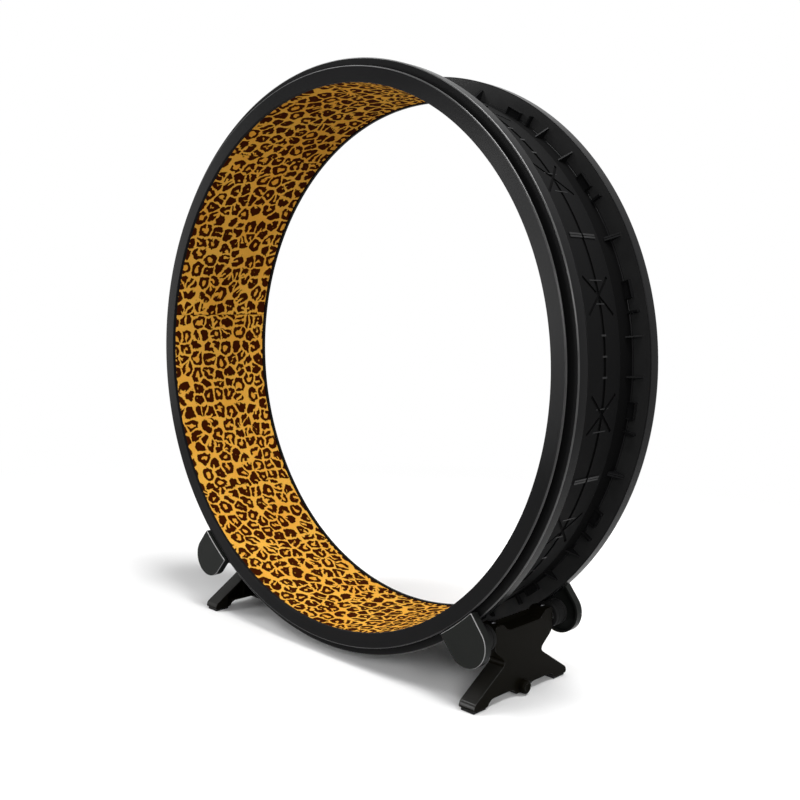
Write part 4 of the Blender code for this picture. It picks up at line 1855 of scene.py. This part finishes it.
@dataclass(frozen=True)
class Studio:
    """Camera at the photograph's viewpoint, floor, backdrop and lamps."""

    camera_place: Triple = (1.0193, -1.02125, 0.5216)
    yaw: float = math.radians(43.65)
    pitch: float = math.radians(-6.58)
    roll: float = math.radians(1.42)
    lens: float = 45.55
    sensor: float = 36.0
    nearest: float = 0.05
    furthest: float = 100.0
    world_fill: float = 0.16
    floor_half: float = 12.0
    floor_tone: Triple = (0.92, 0.92, 0.92)
    floor_bounce: Triple = (0.30, 0.30, 0.30)
    fade: Pair = (0.7, 1.55)     # where the floor turns into the backdrop
    lamps: tuple[Softbox, ...] = (
        Softbox("left_strip", (-2.55, -1.20, 0.5), (-0.3, -0.1, 0.4), 0.95, 1.4, 11.0),
        Softbox("right_strip", (-1.22, -2.16, 0.45), (0.2, -0.1, 0.4), 0.84, 1.3, 36.0),
        Softbox("overhead", (0.9, 0.0, 2.8), (0.0, 0.0, 0.2), 1.6, 1.6, 105.0),
        Softbox("upper_left", (-1.54, -1.10, 2.3), (0.2, -0.1, 0.1), 0.8, 0.8, 24.0),
        Softbox("glint", (2.65, -1.76, 1.45), (0.38, -0.1, 0.51), 1.5, 0.75, 44.0),
    )

    def build(self) -> None:
        """Build everything round the object."""
        self._camera()
        self._floor()
        self._world()
        for lamp in self.lamps:
            lamp.build()

    def _camera(self) -> None:
        """Place the camera."""
        ahead = Vector((-math.sin(self.yaw) * math.cos(self.pitch),
                        math.cos(self.yaw) * math.cos(self.pitch), math.sin(self.pitch)))
        level = ahead.cross(Vector((0, 0, 1))).normalized()
        upright = level.cross(ahead)
        right = math.cos(self.roll) * level + math.sin(self.roll) * upright
        up = -math.sin(self.roll) * level + math.cos(self.roll) * upright
        data = bpy.data.cameras.new("camera")
        data.lens, data.sensor_width = self.lens, self.sensor
        data.clip_start, data.clip_end = self.nearest, self.furthest
        camera = placed("camera", data)
        turn = Matrix((right, up, -ahead)).transposed().to_4x4()
        camera.matrix_world = Matrix.Translation(self.camera_place) @ turn
        bpy.context.scene.camera = camera

    def _floor(self) -> None:
        """Build the pale floor, which fades into the white backdrop far from the object."""
        bm = bmesh.new()
        bmesh.ops.create_grid(bm, x_segments=1, y_segments=1, size=self.floor_half)
        floor = placed("floor", meshed(bm, "floor"))
        material = bpy.data.materials.new("floor_white")
        material.use_nodes = True
        material.node_tree.nodes.clear()
        graph = Graph(material.node_tree)
        place = graph.add("TexCoord").outputs["Object"]
        far = graph.smooth(graph.vector("LENGTH", place, output=1), *self.fade)
        seen = self._seen(graph)
        tone = graph.blend(seen, rgba(self.floor_bounce), rgba(self.floor_tone))
        paint = graph.add("BsdfDiffuse", {"Color": tone})
        white = graph.add("Emission", {"Color": (1, 1, 1, 1), "Strength": 1.0})
        mixed = graph.add("MixShader", {0: graph.math("MULTIPLY", far, seen),
                                        1: paint.outputs[0], 2: white.outputs[0]})
        graph.add("OutputMaterial", {"Surface": mixed.outputs[0]})
        floor.data.materials.append(material)

    def _seen(self, graph: Graph) -> NodeSocket:
        """Tell rays of the camera, of reflections and through glass from lighting rays.

        Args:
            graph: The nodes of the floor or of the backdrop.

        Returns:
            1 for a ray that sees, 0 for one that lights.
        """
        path = graph.add("LightPath").outputs
        mirrored = graph.math("MAXIMUM", path["Is Glossy Ray"], path["Is Transmission Ray"])
        return graph.math("MAXIMUM", path["Is Camera Ray"], mirrored)

    def _world(self) -> None:
        """Build the backdrop: white to the camera and in reflections, dimmer as a lamp."""
        world = bpy.data.worlds.new("studio")
        bpy.context.scene.world = world
        world.use_nodes = True
        world.node_tree.nodes.clear()
        graph = Graph(world.node_tree)
        strength = graph.mix(self._seen(graph), self.world_fill, 1.0)
        light = graph.add("Background", {"Color": (1, 1, 1, 1), "Strength": strength})
        graph.add("OutputWorld", {"Surface": light.outputs[0]})


def main() -> None:
    """Build every piece in order."""
    logging.basicConfig(level=logging.INFO, format="%(name)s: %(message)s")
    bpy.context.scene.view_settings.view_transform = "Standard"
    Studio().build()
    effects = SurfaceEffects()
    finishes = Finishes(effects)
    ring, places = Ring(), RollerPlaces()
    pieces = RimSet(ring, finishes.ring).build()
    pieces += RunningMat(ring, finishes.mat).build()
    pieces += Cover(places, ring, finishes.cover).build()
    pieces += Stand(places, finishes.stand).build()
    pieces += RollerUnit(places, finishes).build()
    pieces += FootParts(places, finishes).build()
    LOG.info("%d pieces", len(pieces))
    bpy.context.view_layer.update()


if __name__ == "__main__":
    main()
